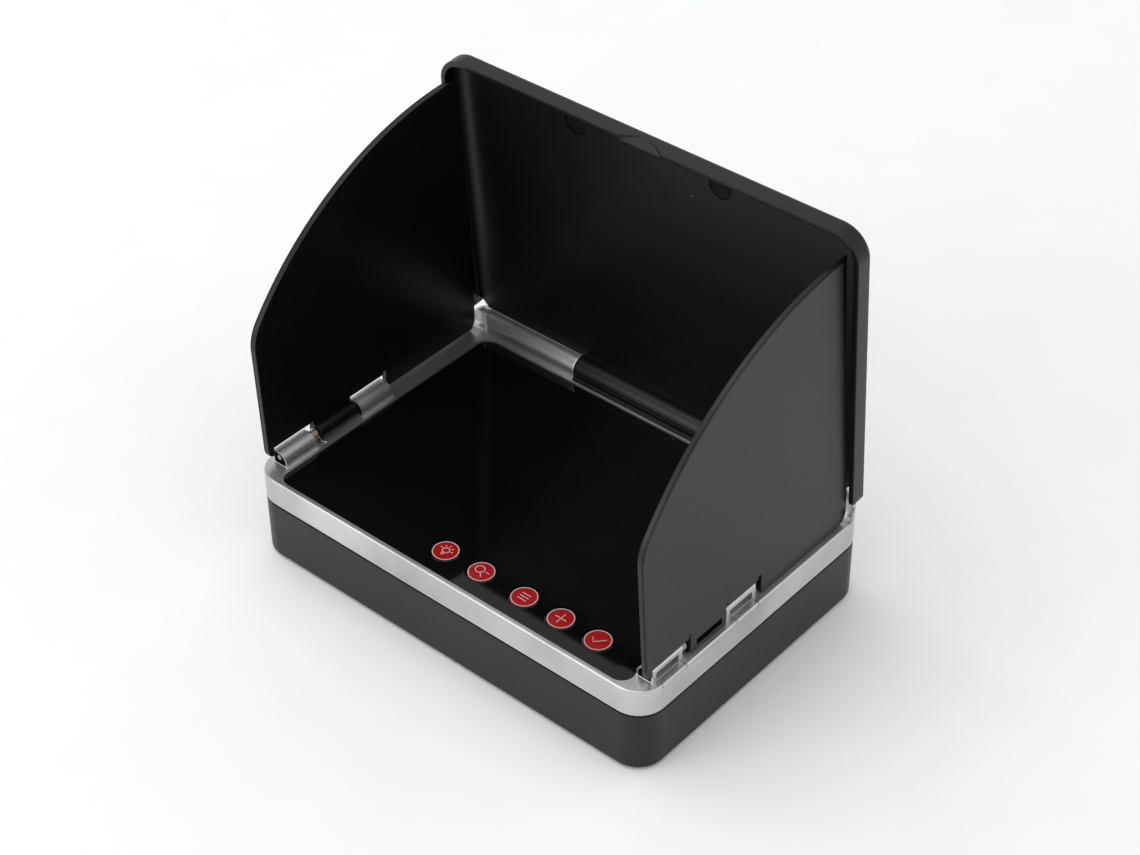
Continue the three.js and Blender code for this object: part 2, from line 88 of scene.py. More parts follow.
KEY_Y = -35.0
KEY_SPOTS = {"light": -5.7, "zoom_out": 6.2, "menu": 20.2, "plus": 31.9, "confirm": 43.5}
print("case", HALF_X * 2, "by", HALF_Y * 2, "mm")
print("window from", round(WINDOW_LEFT, 2), "to", round(WINDOW_RIGHT, 2), "mm")

# %% [markdown]
# ## Camera
# The camera stands in front and to the right, looking down at the open hood. Its place
# is given, and its axes are built from azimuth and elevation, with a small roll added.

# %% Camera
CAMERA_AZIMUTH = math.radians(40.9964)
CAMERA_ELEVATION = math.radians(38.8494)
CAMERA_ROLL = math.radians(-0.5334)
CAMERA_PLACE = Vector((0.31466, -0.35638, 0.42877))
CAMERA_LENS, CAMERA_SENSOR = 77.48, 36


def aim_camera():
    """A camera whose axes come from its azimuth, elevation and roll."""
    flat = math.cos(CAMERA_ELEVATION)
    back = Vector((math.sin(CAMERA_AZIMUTH) * flat, -math.cos(CAMERA_AZIMUTH) * flat,
                   math.sin(CAMERA_ELEVATION)))
    right = Vector((math.cos(CAMERA_AZIMUTH), math.sin(CAMERA_AZIMUTH), 0))
    up = back.cross(right)
    turn = Matrix((right, up, back)).transposed().to_4x4()
    data = bpy.data.cameras.new("viewer_camera")
    data.lens = CAMERA_LENS
    data.sensor_width = CAMERA_SENSOR
    data.clip_start = 0.01
    camera = bpy.data.objects.new("viewer_camera", data)
    roll = Matrix.Rotation(CAMERA_ROLL, 4, "Z")
    camera.matrix_world = Matrix.Translation(CAMERA_PLACE) @ turn @ roll
    bpy.context.scene.collection.objects.link(camera)
    bpy.context.scene.camera = camera
    return camera


camera = aim_camera()
print("camera at", [round(c, 4) for c in camera.location])

# %% [markdown]
# ## Floor and light
# A studio sweep is nearly white everywhere: the black plastic is only visible because it
# mirrors that white weakly. So the world is a soft white, the floor is pale, and three
# large soft lamps give the silver its long highlights.

# %% Floor and soft lamps
FLOOR_HALF, FLOOR_DROP = 6.0, 0.0002
LAMP_TARGET = (0, 0, 0.04)
WORLD_STRENGTH = 0.82


def make_floor():
    """A wide pale sheet just under the object."""
    half = FLOOR_HALF
    mesh = bpy.data.meshes.new("floor")
    mesh.from_pydata([(-half, -half, 0), (half, -half, 0), (half, half, 0), (-half, half, 0)],
                     [], [(0, 1, 2, 3)])
    floor = bpy.data.objects.new("floor", mesh)
    floor.location.z = -FLOOR_DROP
    bpy.context.scene.collection.objects.link(floor)
    return floor


def soft_lamp(name, place, target, size, power):
    """A square softbox at a place, facing a target."""
    data = bpy.data.lights.new(name, "AREA")
    data.shape = "SQUARE"
    data.size = size
    data.energy = power
    lamp = bpy.data.objects.new(name, data)
    lamp.location = place
    lamp.rotation_euler = (Vector(target) - Vector(place)).to_track_quat("-Z", "Y").to_euler()
    bpy.context.scene.collection.objects.link(lamp)
    return lamp


floor = make_floor()
for name, place, size, power in (("front_lamp", (-0.5, -1.2, 0.55), 0.8, 4),
                                 ("side_lamp", (1.2, 0.3, 0.9), 0.8, 0.3),
                                 ("top_lamp", (-0.4, -0.2, 1.5), 1.0, 5)):
    soft_lamp(name, place, LAMP_TARGET, size, power)
world = bpy.data.worlds.new("studio")
bpy.context.scene.world = world
world.use_nodes = True
backdrop = world.node_tree.nodes["Background"].inputs
backdrop["Color"].default_value = (1, 1, 1, 1)
backdrop["Strength"].default_value = WORLD_STRENGTH
bpy.context.scene.view_settings.view_transform = "Standard"

# %% [markdown]
# ## Node helpers
# Materials are built in code, so a few short helpers keep the trees readable: one adds a
# node and fills its sockets, one starts a material, and one starts a shader group with
# named sockets.

# %% Node helpers
def add_node(tree, kind, settings=None, **sockets):
    """Adds a node, sets its own properties, then sets or links its named inputs."""
    node = tree.nodes.new(kind)
    for key, value in (settings or {}).items():
        setattr(node, key, value)
    for key, value in sockets.items():
        socket = node.inputs[int(key[1:])] if key[0] == "n" and key[1:].isdigit() else (
            node.inputs[key.replace("_", " ")])
        if isinstance(value, bpy.types.NodeSocket):
            tree.links.new(value, socket)
        else:
            socket.default_value = value
    return node


def do_math(tree, operation, first, second=0.0, third=0.0, clamp=False):
    """One Math node; returns its output."""
    return add_node(tree, "ShaderNodeMath", {"operation": operation, "use_clamp": clamp},
                    n0=first, n1=second, n2=third).outputs[0]


def blend_colour(tree, factor, first, second, mode="MIX"):
    """One colour Mix node; returns its colour."""
    node = tree.nodes.new("ShaderNodeMix")
    node.data_type = "RGBA"
    node.blend_type = mode
    for index, value in ((0, factor), (6, first), (7, second)):
        if isinstance(value, bpy.types.NodeSocket):
            tree.links.new(value, node.inputs[index])
        else:
            node.inputs[index].default_value = value
    return node.outputs[2]


def remap(tree, value, low, high, to_low=0.0, to_high=1.0):
    """A clamped Map Range; returns its result."""
    node = tree.nodes.new("ShaderNodeMapRange")
    tree.links.new(value, node.inputs[0])
    for index, number in enumerate((low, high, to_low, to_high), 1):
        node.inputs[index].default_value = number
    return node.outputs[0]


def start_group(name, inputs, outputs):
    """A shader group with float inputs (name: default) and typed outputs."""
    group = bpy.data.node_groups.new(name, "ShaderNodeTree")
    for label, default in inputs.items():
        socket = group.interface.new_socket(label, in_out="INPUT", socket_type="NodeSocketFloat")
        socket.default_value = default
    for label, kind in outputs.items():
        group.interface.new_socket(label, in_out="OUTPUT", socket_type=kind)
    source = group.nodes.new("NodeGroupInput")
    sink = group.nodes.new("NodeGroupOutput")
    return group, source, sink


def use_group(tree, group, **values):
    """Places a group in a material with its own values."""
    node = tree.nodes.new("ShaderNodeGroup")
    node.node_tree = group
    for key, value in values.items():
        node.inputs[key.replace("_", " ")].default_value = value
    return node


def start_material(name, **sockets):
    """A material with one Principled shader; returns its tree and the shader."""
    material = bpy.data.materials.new(name)
    material.use_nodes = True
    tree = material.node_tree
    shader = tree.nodes["Principled BSDF"]
    for key, value in sockets.items():
        shader.inputs[key.replace("_", " ")].default_value = value
    return material, tree, shader


print("node helpers ready")

# %% [markdown]
# ## Effects shared by several finishes
# Moulded plastic, paint and metal differ in colour, but they share the same small
# effects. Each effect is one group: a fine grain that is pressed into plastic by its
# mould, a pale line on an edge (the wear that handling leaves, and on the silver a painted
# highlight), the few specks and hairs of dust that lie on any glossy black thing, and the
# soft cloudy change of tone over a panel.

# %% Shader groups
FLOAT = "NodeSocketFloat"


def grain_group():
    """Height and tone of a fine pressed grain; Size in millimetres."""
    group, source, sink = start_group("pressed_grain", {"Size": 0.3, "Depth": 1.0},
                                      {"Height": FLOAT, "Tone": FLOAT})
    place = group.nodes.new("ShaderNodeTexCoord").outputs["Object"]
    scale = do_math(group, "DIVIDE", 1000.0, source.outputs["Size"])
    pits = add_node(group, "ShaderNodeTexNoise", Vector=place, Scale=scale, Detail=3.0,
                    Roughness=0.6).outputs["Fac"]
    cells = add_node(group, "ShaderNodeTexVoronoi", {"feature": "SMOOTH_F1"}, Vector=place,
                     Scale=scale).outputs["Distance"]
    both = do_math(group, "ADD", do_math(group, "MULTIPLY", pits, 0.6),
                   do_math(group, "MULTIPLY", cells, 0.4))
    height = do_math(group, "MULTIPLY", both, source.outputs["Depth"])
    group.links.new(height, sink.inputs["Height"])
    group.links.new(remap(group, pits, 0.35, 0.65), sink.inputs["Tone"])
    return group


def wear_and_glint_group():
    """A mask that is 1 on outward edges, broken up by noise: edge wear, and on the silver a painted highlight
    line.
    """
    group, source, sink = start_group("edge_wear", {"Amount": 0.5, "Breakup": 1.0},
                                      {"Mask": FLOAT})
    sharp = group.nodes.new("ShaderNodeNewGeometry").outputs["Pointiness"]
    rim = remap(group, sharp, 0.52, 0.62)
    place = group.nodes.new("ShaderNodeTexCoord").outputs["Object"]
    patchy = add_node(group, "ShaderNodeTexNoise", Vector=place, Scale=260.0, Detail=4.0,
                      Roughness=0.7).outputs["Fac"]
    whole = do_math(group, "SUBTRACT", 1.0, source.outputs["Breakup"])
    patchy = do_math(group, "MULTIPLY_ADD", remap(group, patchy, 0.4, 0.62),
                     source.outputs["Breakup"], whole)
    mask = do_math(group, "MULTIPLY", do_math(group, "MULTIPLY", rim, patchy),
                   source.outputs["Amount"], clamp=True)
    group.links.new(mask, sink.inputs["Mask"])
    return group


def dust_group():
    """A mask of scattered specks and a few short hairs; Spacing in millimetres."""
    group, source, sink = start_group("dust_specks", {"Spacing": 9.0, "Amount": 0.5},
                                      {"Mask": FLOAT})
    place = group.nodes.new("ShaderNodeTexCoord").outputs["Object"]
    scale = do_math(group, "DIVIDE", 1000.0, source.outputs["Spacing"])
    near = add_node(group, "ShaderNodeTexVoronoi", Vector=place, Scale=scale).outputs["Distance"]
    speck = remap(group, near, 0.016, 0.008)
    drawn = add_node(group, "ShaderNodeMapping", Vector=place, Scale=(1.0, 5.0, 5.0),
                     Rotation=(0.5, 0.3, 0.9)).outputs[0]
    long = add_node(group, "ShaderNodeTexVoronoi", Vector=drawn,
                    Scale=do_math(group, "MULTIPLY", scale, 0.28)).outputs["Distance"]
    hair = remap(group, long, 0.03, 0.015)
    both = do_math(group, "MAXIMUM", speck, do_math(group, "MULTIPLY", hair, 0.6))
    group.links.new(do_math(group, "MULTIPLY", both, source.outputs["Amount"], clamp=True),
                    sink.inputs["Mask"])
    return group


def clouds_group():
    """A slow change of tone from 0 to 1; Size in millimetres."""
    group, source, sink = start_group("soft_clouds", {"Size": 30.0}, {"Tone": FLOAT})
    place = group.nodes.new("ShaderNodeTexCoord").outputs["Object"]
    scale = do_math(group, "DIVIDE", 1000.0, source.outputs["Size"])
    noise = add_node(group, "ShaderNodeTexNoise", Vector=place, Scale=scale,
                     Detail=2.0).outputs["Fac"]
    group.links.new(remap(group, noise, 0.3, 0.7), sink.inputs["Tone"])
    return group


GRAIN, WEAR_AND_GLINT, DUST, CLOUDS = grain_group(), wear_and_glint_group(), dust_group(), clouds_group()
print("groups:", [g.name for g in (GRAIN, WEAR_AND_GLINT, DUST, CLOUDS)])

# %% [markdown]
# ## The plastics, paints and metals
# One recipe makes most of them: a colour that drifts a little, a paler tone on the
# edges (wear, and on the silver a painted highlight), dust on top, and a roughness and a
# bump that come from the same grain. Each finish has its own numbers, because a satin
# silver paint and a moulded black hood differ in how wide their highlight is far more
# than in their pattern.

# %% A recipe for a moulded or painted finish
def grey(level):
    """A neutral colour of one level."""
    return (level, level, level, 1.0)


def skin(name, colour, drift, wear_glint_colour, rough, grain=0.3, depth=0.02, wear_and_glint=0.5, dust=0.3,
         rough_spread=0.08, dust_colour=(0.35, 0.34, 0.32, 1), breakup=1.0, **constants):
    """A procedural finish: drifting colour, pale edges for wear and painted highlight, dust, grain in roughness
    and bump.
    """
    material, tree, shader = start_material(name, **constants)
    clouds = use_group(tree, CLOUDS, Size=26.0).outputs["Tone"]
    pressed = use_group(tree, GRAIN, Size=grain, Depth=1.0)
    edge = use_group(tree, WEAR_AND_GLINT, Amount=wear_and_glint, Breakup=breakup).outputs["Mask"]
    specks = use_group(tree, DUST, Spacing=9.0, Amount=dust).outputs["Mask"]
    base = blend_colour(tree, clouds, colour, drift)
    base = blend_colour(tree, do_math(tree, "MULTIPLY", pressed.outputs["Tone"], 0.35), base, drift)
    # Pale edges: wear on the black parts, and on the silver a painted highlight line.
    base = blend_colour(tree, edge, base, wear_glint_colour)
    base = blend_colour(tree, specks, base, dust_colour)
    tree.links.new(base, shader.inputs["Base Color"])
    spread = do_math(tree, "MULTIPLY_ADD", pressed.outputs["Tone"], rough_spread,
                     rough - rough_spread / 2)
    spread = do_math(tree, "ADD", spread, do_math(tree, "MULTIPLY", specks, 0.3), clamp=True)
    tree.links.new(spread, shader.inputs["Roughness"])
    bump = add_node(tree, "ShaderNodeBump", Strength=0.5, Distance=depth * MM,
                    Height=pressed.outputs["Height"]).outputs[0]
    tree.links.new(bump, shader.inputs["Normal"])
    return material


case_black = skin("case_black", grey(0.003), grey(0.006), grey(0.03), 0.42, grain=0.35,
                  depth=0.012, wear_and_glint=0.3, dust=0.25, Specular_IOR_Level=0.4)
hood_black = skin("hood_black", grey(0.0016), grey(0.0028), grey(0.02), 0.36, grain=0.4,
                  depth=0.006, wear_and_glint=0.4, dust=0.5, Specular_IOR_Level=0.38)
disc_black = skin("disc_black", grey(0.001), grey(0.002), grey(0.01), 0.55, dust=0.1,
                  Specular_IOR_Level=0.15)
# On the silver the pale edge colour, strong and barely broken up, is a painted highlight along the fillets.
silver_paint = skin("silver_paint", (0.38, 0.38, 0.39, 1), (0.66, 0.66, 0.67, 1),
                    (0.78, 0.78, 0.79, 1), 0.34, grain=0.2, depth=0.035, wear_and_glint=0.9, dust=0.1,
                    rough_spread=0.14, breakup=0.3, Metallic=0.84)
lip_cream = skin("lip_cream", (0.62, 0.57, 0.47, 1), (0.55, 0.5, 0.4, 1), (0.7, 0.66, 0.56, 1),
                 0.45, grain=0.2, depth=0.004, wear_and_glint=0.2, dust=0.0)
pin_steel = skin("pin_steel", (0.46, 0.44, 0.41, 1), (0.36, 0.34, 0.32, 1),
                 (0.7, 0.68, 0.65, 1), 0.28, grain=0.12, depth=0.004, Metallic=1.0)
spring_copper = skin("spring_copper", (0.62, 0.53, 0.45, 1), (0.5, 0.42, 0.35, 1),
                     (0.85, 0.78, 0.7, 1), 0.25, grain=0.1, depth=0.004, Metallic=1.0)
socket_nickel = skin("socket_nickel", (0.42, 0.42, 0.4, 1), (0.34, 0.34, 0.33, 1),
                     (0.7, 0.7, 0.68, 1), 0.3, grain=0.2, depth=0.005, Metallic=1.0)
jack_black = skin("jack_black", grey(0.015), grey(0.02), grey(0.06), 0.5, grain=0.25, depth=0.01)
seal_rubber = skin("seal_rubber", grey(0.006), grey(0.009), grey(0.02), 0.8, grain=0.25,
                   depth=0.01, dust=0.0)
cell_wrap = skin("cell_wrap", (0.16, 0.19, 0.24, 1), (0.2, 0.23, 0.28, 1), (0.4, 0.4, 0.42, 1),
                 0.4, grain=0.6, depth=0.02, Metallic=0.3)
film_amber = skin("film_amber", (0.5, 0.26, 0.06, 1), (0.42, 0.2, 0.04, 1), (0.6, 0.4, 0.2, 1),
                  0.3, grain=0.4, depth=0.006)
tray_steel = skin("tray_steel", grey(0.5), grey(0.42), grey(0.7), 0.35,
                  grain=0.15, depth=0.004, Metallic=1.0)
print("finishes:", len(bpy.data.materials))

# %% [markdown]
# ## The window's gloss, the key prints and the board
# The window is a hard, clear sheet printed black on its underside: a nearly black base
# with a sharp mirror on top, a trace of waviness and a little dust. The keys are printed
# the same way, red with a pale ring. The boards show their tracks under green lacquer.

# %% Gloss, prints and lacquer
window_black = skin("window_black", grey(0.0025), grey(0.0035), grey(0.01), 0.04, grain=2.5,
                    depth=0.0006, wear_and_glint=0.2, dust=0.5, rough_spread=0.02,
                    dust_colour=grey(0.2), Specular_IOR_Level=0.3)
screen_dark = skin("screen_dark", (0.006, 0.006, 0.008, 1), (0.009, 0.009, 0.012, 1),
                   grey(0.02), 0.12, grain=0.8, depth=0.001, dust=0.05)
key_red = skin("key_red", (0.34, 0.006, 0.009, 1), (0.38, 0.009, 0.012, 1),
               (0.42, 0.04, 0.04, 1), 0.12, grain=0.5, depth=0.002, wear_and_glint=0.1, dust=0.1,
               rough_spread=0.05, Specular_IOR_Level=0.3)
key_pale = skin("key_pale", (0.66, 0.5, 0.5, 1), (0.6, 0.43, 0.43, 1), (0.7, 0.6, 0.6, 1), 0.2,
                grain=0.3, depth=0.002, wear_and_glint=0.1, dust=0.0, rough_spread=0.05)
floor_paper = skin("floor_paper", grey(0.93), grey(0.95), grey(0.95), 0.8, grain=1.5, depth=0.01,
                   wear_and_glint=0.0, dust=0.0)
floor.data.materials.append(floor_paper)


def board_lacquer():
    """Green lacquer with pale tracks that run in steps and small round pads."""
    material, tree, shader = start_material("board_lacquer", Roughness=0.4)
    place = tree.nodes.new("ShaderNodeTexCoord").outputs["Object"]
    tracks = add_node(tree, "ShaderNodeTexVoronoi", {"distance": "CHEBYCHEV", "feature": "F2"},
                      Vector=place, Scale=420.0).outputs["Distance"]
    bands = add_node(tree, "ShaderNodeTexWave", {"bands_direction": "DIAGONAL"}, Vector=place,
                     Scale=180.0, Distortion=6.0).outputs["Fac"]
    line = remap(tree, bands, 0.8, 0.9)
    pads = remap(tree, tracks, 0.9, 1.0)
    lacquer = blend_colour(tree, use_group(tree, CLOUDS, Size=12.0).outputs["Tone"],
                           (0.012, 0.07, 0.028, 1), (0.016, 0.09, 0.035, 1))
    lacquer = blend_colour(tree, line, lacquer, (0.05, 0.2, 0.09, 1))
    lacquer = blend_colour(tree, pads, lacquer, (0.6, 0.5, 0.25, 1))
    tree.links.new(lacquer, shader.inputs["Base Color"])
    tree.links.new(pads, shader.inputs["Metallic"])
    bump = add_node(tree, "ShaderNodeBump", Strength=0.4, Distance=0.03 * MM,
                    Height=line).outputs[0]
    tree.links.new(bump, shader.inputs["Normal"])
    return material


board_green = board_lacquer()
print("materials:", [m.name for m in bpy.data.materials])

# %% [markdown]
# ## Mesh helpers
# Most shells here are lofts: one outline, repeated at several depths with small insets,
# which is how a moulded edge gets its true rounding instead of a sharp corner. The
# helpers work in millimetres and turn every result into one closed mesh whose faces
# point outwards.

# %% Outlines and lofts
CORNER_STEPS = 10
SHARPEST_MITRE = 0.45


def rounded_rect(x0, y0, x1, y1, radius, steps=CORNER_STEPS):
    """Counter-clockwise points of a rounded rectangle."""
    points = []
    for cx, cy, start in ((x1 - radius, y0 + radius, -90), (x1 - radius, y1 - radius, 0),
                          (x0 + radius, y1 - radius, 90), (x0 + radius, y0 + radius, 180)):
        for step in range(steps + 1):
            angle = math.radians(start + 90 * step / steps)
            points.append((cx + radius * math.cos(angle), cy + radius * math.sin(angle)))
    return points


def arc(cx, cy, radius, start, end, steps):
    """Points along an arc, in degrees, with both ends."""
    return [(cx + radius * math.cos(math.radians(start + (end - start) * i / steps)),
             cy + radius * math.sin(math.radians(start + (end - start) * i / steps)))
            for i in range(steps + 1)]


def inset_loop(points, amount):
    """A closed outline drawn inwards by an amount, with mitred corners."""
    result = []
    count = len(points)
    for i, (x, y) in enumerate(points):
        before = Vector((x, y)) - Vector(points[i - 1])
        after = Vector(points[(i + 1) % count]) - Vector((x, y))
        before.normalize()
        after.normalize()
        normal = Vector((-before.y - after.y, before.x + after.x))
        if normal.length < 1e-6:
            normal = Vector((-before.y, before.x))
        normal.normalize()
        reach = max(SHARPEST_MITRE, normal.dot(Vector((-before.y, before.x))))
        result.append((x + normal.x * amount / reach, y + normal.y * amount / reach))
    return result


def quarter(inset_from, inset_to, z_from, z_to, steps=4, bulge_out=True):
    """(inset, z) pairs of a quarter round between two levels."""
    pairs = []
    for i in range(steps + 1):
        angle = math.radians(90 * i / steps)
        across = 1 - math.cos(angle) if bulge_out else math.sin(angle)
        along = math.sin(angle) if bulge_out else 1 - math.cos(angle)
        pairs.append((inset_from + (inset_to - inset_from) * across,
                      z_from + (z_to - z_from) * along))
    return pairs


def loft(rings, close=False):
    """Points and faces through rings of equal length; the ends are capped or joined."""
    count = len(rings[0])
    points = [p for ring in rings for p in ring]
    faces = []
    last = len(rings) if close else len(rings) - 1
    for level in range(last):
        upper = (level + 1) % len(rings)
        for i in range(count):
            j = (i + 1) % count
            faces.append((level * count + i, level * count + j,
                          upper * count + j, upper * count + i))
    if not close:
        faces.append(tuple(reversed(range(count))))
        faces.append(tuple((len(rings) - 1) * count + i for i in range(count)))
    return points, faces


def make_object(name, points, faces, turn=None):
    """A closed mesh object from millimetre points, normals outwards."""
    mesh = bpy.data.meshes.new(name)
    mesh.from_pydata([tuple(c * MM for c in p) for p in points], [], faces)
    solid = bmesh.new()
    solid.from_mesh(mesh)
    bmesh.ops.remove_doubles(solid, verts=solid.verts, dist=1e-7)
    bmesh.ops.recalc_face_normals(solid, faces=solid.faces)
    solid.to_mesh(mesh)
    solid.free()
    if turn is not None:
        mesh.transform(turn)
    obj = bpy.data.objects.new(name, mesh)
    bpy.context.scene.collection.objects.link(obj)
    return obj


def keep_result(obj):
    """Turns what the modifiers show into the object's own mesh."""
    graph = bpy.context.evaluated_depsgraph_get()
    mesh = bpy.data.meshes.new_from_object(obj.evaluated_get(graph))
    obj.modifiers.clear()
    obj.data = mesh
    return obj


def carve(obj, *tools, operation="DIFFERENCE"):
    """Cuts tools out of an object, or joins them to it, and removes the tools."""
    for tool in tools:
        change = obj.modifiers.new("carve", "BOOLEAN")
        change.operation = operation
        change.solver = "EXACT"
        change.object = tool
        keep_result(obj)
        bpy.data.objects.remove(tool)
    return obj


def soften(obj, width, segments=3, angle=40):
    """Rounds an object's hard edges by a width in millimetres."""
    change = obj.modifiers.new("soften", "BEVEL")
    change.width = width * MM
    change.segments = segments
    change.limit_method = "ANGLE"
    change.angle_limit = math.radians(angle)
    return keep_result(obj)


def finish(obj, body, slot, materials, *nodes, angle=32):
    """Smooths, paints and mounts a finished piece."""
    for polygon in obj.data.polygons:
        polygon.use_smooth = True
    obj.data.set_sharp_from_angle(angle=math.radians(angle))
    even = obj.modifiers.new("even_normals", "WEIGHTED_NORMAL")
    even.keep_sharp = True
    even.weight = 100
    keep_result(obj)
    for material in materials if isinstance(materials, list) else [materials]:
        obj.data.materials.append(material)
    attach(obj, body)
    if nodes:
        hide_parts(*nodes)
    print(obj.name, len(obj.data.polygons), "faces on", body)
    return obj


def block(name, x0, x1, y0, y1, z0, z1):
    """A plain box, only used as a cutter or a blank."""
    return make_object(name, *loft([[(x0, y0, z), (x1, y0, z), (x1, y1, z), (x0, y1, z)]
                                    for z in (z0, z1)]))


def rod(name, axis, u, v, radius, start, end, segments=48):
    """A round blank along x, y or z through the point (u, v) of the other two axes."""
    rings = []
    for level in (start, end):
        ring = [(u + radius * math.cos(math.tau * i / segments),
                 v + radius * math.sin(math.tau * i / segments)) for i in range(segments)]
        order = {"x": lambda a, b: (level, a, b), "y": lambda a, b: (a, level, b),
                 "z": lambda a, b: (a, b, level)}[axis]
        rings.append([order(a, b) for a, b in ring])
    return make_object(name, *loft(rings))


def lathe(name, profile, segments=48, turn=None):
    """A turned piece about Z from (radius, height) pairs; end radii of 0 close it."""
    points, faces, rings = [], [], []
    for radius, height in profile:
        if radius < 1e-6:
            rings.append([len(points)])
            points.append((0, 0, height))
            continue
        rings.append(list(range(len(points), len(points) + segments)))
        points += [(radius * math.cos(math.tau * i / segments),
                    radius * math.sin(math.tau * i / segments), height) for i in range(segments)]
    for low, high in zip(rings, rings[1:]):
        for i in range(segments):
            j = (i + 1) % segments
            corners = (low[i % len(low)], low[j % len(low)],
                       high[j % len(high)], high[i % len(high)])
            faces.append(tuple(dict.fromkeys(corners)))
    return make_object(name, points, faces, turn)


print("mesh helpers ready")

# %% [markdown]
# ## Lower case
# The case is a deep black tray. Its walls are straight, its corners follow the bezel and
# its lower rim is rounded where the mould closes. A loft from the underside, up the wall
# and down the inside makes the whole tray in one closed skin; the sockets and the screw
# wells are cut afterwards.

# %% The black tray
def case_ring(inset, z):
    """The case outline, drawn in by an inset, at a height."""
    return [(x, y, z) for x, y in rounded_rect(-HALF_X + inset, -HALF_Y + inset, HALF_X - inset,
                                               HALF_Y - inset, CORNER - inset)]


BOTTOM_ROUND = 1.5
LIP = 0.3
CASE_WALL, CASE_FLOOR = 2.0, 2.0
SCREWS = [(i * 57.5, j * 36.8) for i, j in ((-1, -1), (1, -1), (1, 1), (-1, 1))]
TOWER_R, TOWER_LOW, TOWER_TOP = 4, 1.5, 17
SHAFT_HOLE_R, WELL_R, WELL_DEEP = 1.6, 3.2, 3
SOCKET = (38.0, 9.8, 6.0)
JACK = (14.0, 8.9, 3.6)
FIT = 0.15


def make_case():
    """The tray: underside, rounded rim, wall, lip, inside wall and floor."""
    steps = [(BOTTOM_ROUND * 1.05, 0.0)]
    steps += quarter(BOTTOM_ROUND, 0.0, 0.0, BOTTOM_ROUND, 5, False)[1:]
    steps += [(0.0, 9.0), (0.0, CASE_TOP - LIP), (LIP * 0.3, CASE_TOP - LIP * 0.3), (LIP, CASE_TOP)]
    steps += [(CASE_WALL, CASE_TOP), (CASE_WALL, CASE_FLOOR)]
    case = make_object("case_shell", *loft([case_ring(inset, z) for inset, z in steps]))
    carve(case, *[rod("tower", "z", x, y, TOWER_R, TOWER_LOW, TOWER_TOP, 32) for x, y in SCREWS],
          operation="UNION")
    cutters = [rod("shaft_hole", "z", x, y, SHAFT_HOLE_R, CASE_FLOOR, 20, 24) for x, y in SCREWS]
    cutters += [rod("well", "z", x, y, WELL_R, -1, WELL_DEEP, 32) for x, y in SCREWS]
    cutters += [rod("socket_hole", "y", x, z, radius + FIT, HALF_Y - 4, HALF_Y + 4)
                for x, z, radius in (SOCKET, JACK)]
    return carve(case, *cutters)


finish(make_case(), "base", "black_case", case_black, "lower_case")

# %% [markdown]
# ## Bezel
# The silver bezel is a closed band: outer wall, a soft fillet, a flat top and a sharp
# drop to the window. Its outline changes from the case's rounded rectangle to the
# window's, but both have the same number of points, so one loft joins them. Its lowest
# edge was never painted and shows as a thin cream line. The round troughs for the moving
# hinge barrels are cut from the finished band.

# %% The silver band
BEZEL_FILLET = 0.42
LIP_HIGH = 0.35
BEZEL_SEAMS = (-37.2, -28.4, -9.1, -0.7)
SEAM_WIDTH = 0.24
FRAME_LOW, FRAME_IN, LEDGE_IN = 22.3, 1.8, 1.6
WING_TROUGH_R = 2.6


def window_ring(inset, z):
    """The window's opening, drawn in by an inset, at a height."""
    return [(x, y, z) for x, y in rounded_rect(WINDOW_LEFT + inset, WINDOW_FRONT + inset,
                                               WINDOW_RIGHT - inset, WINDOW_REAR - inset,
                                               WINDOW_CORNER - inset)]


def make_bezel():
    """The band as one closed loft, lip included, cut for its troughs and seams; paint_lip gives the lip its
    second material.
    """
    outer = [(FRAME_IN, BEZEL_LOW), (0.12, BEZEL_LOW), (0.0, BEZEL_LOW + 0.1),
             (0.0, BEZEL_LOW + LIP_HIGH), (0.06, BEZEL_LOW + LIP_HIGH + 0.02), (0.0, BEZEL_LOW + LIP_HIGH + 0.12)]
    outer += quarter(0.0, BEZEL_FILLET, BEZEL_TOP - BEZEL_FILLET, BEZEL_TOP, 6)
    rings = [case_ring(inset, z) for inset, z in outer]
    rings += [window_ring(-0.12, BEZEL_TOP), window_ring(-0.03, BEZEL_TOP - 0.03),
              window_ring(0.0, BEZEL_TOP - 0.12), window_ring(0.0, LEDGE_TOP),
              window_ring(LEDGE_IN, LEDGE_TOP), window_ring(LEDGE_IN, FRAME_LOW),
              case_ring(FRAME_IN, FRAME_LOW)]
    bezel = make_object("bezel_band", *loft(rings, close=True))
    cutters = [rod("lid_trough", "x", RIDGE_Y, RIDGE_Z, TROUGH_R, -TROUGH_HALF, TROUGH_HALF)]
    for side in (-1, 1):
        cutters.append(rod("wing_trough", "y", side * WING_X, WING_Z, WING_TROUGH_R,
                           WING_KNUCKLE[0] - 0.3, WING_KNUCKLE[1] + 0.3))
        for y in BEZEL_SEAMS:
            for reach, depth in ((2.6, 0.22), (0.25, 1.1)):
                near, far = sorted((side * (HALF_X - reach), side * (HALF_X + 1)))
                cutters.append(block("seam", near, far, y, y + SEAM_WIDTH, BEZEL_TOP - depth,
                                     BEZEL_TOP + 1))
    return carve(bezel, *cutters)


def paint_lip(obj):
    """Gives the faces of the lowest edge the second material."""
    for polygon in obj.data.polygons:
        if BEZEL_LOW < polygon.center.z / MM < BEZEL_LOW + LIP_HIGH:
            polygon.material_index = 1


bezel = make_bezel()
finish(bezel, "base", "silver_bezel", [silver_paint, lip_cream], "bezel_frame")
paint_lip(bezel)

# %% [markdown]
# ## Rear ridge
# Along the rear edge the bezel rises into a rounded ridge that holds the lid's barrel. It
# runs into the case corners, and at both ends it flows into the side strips with a
# hollow curve. Each half is a row of cross-sections along X: the section grows its hollow
# foot near the end, and the corner of the case trims it.

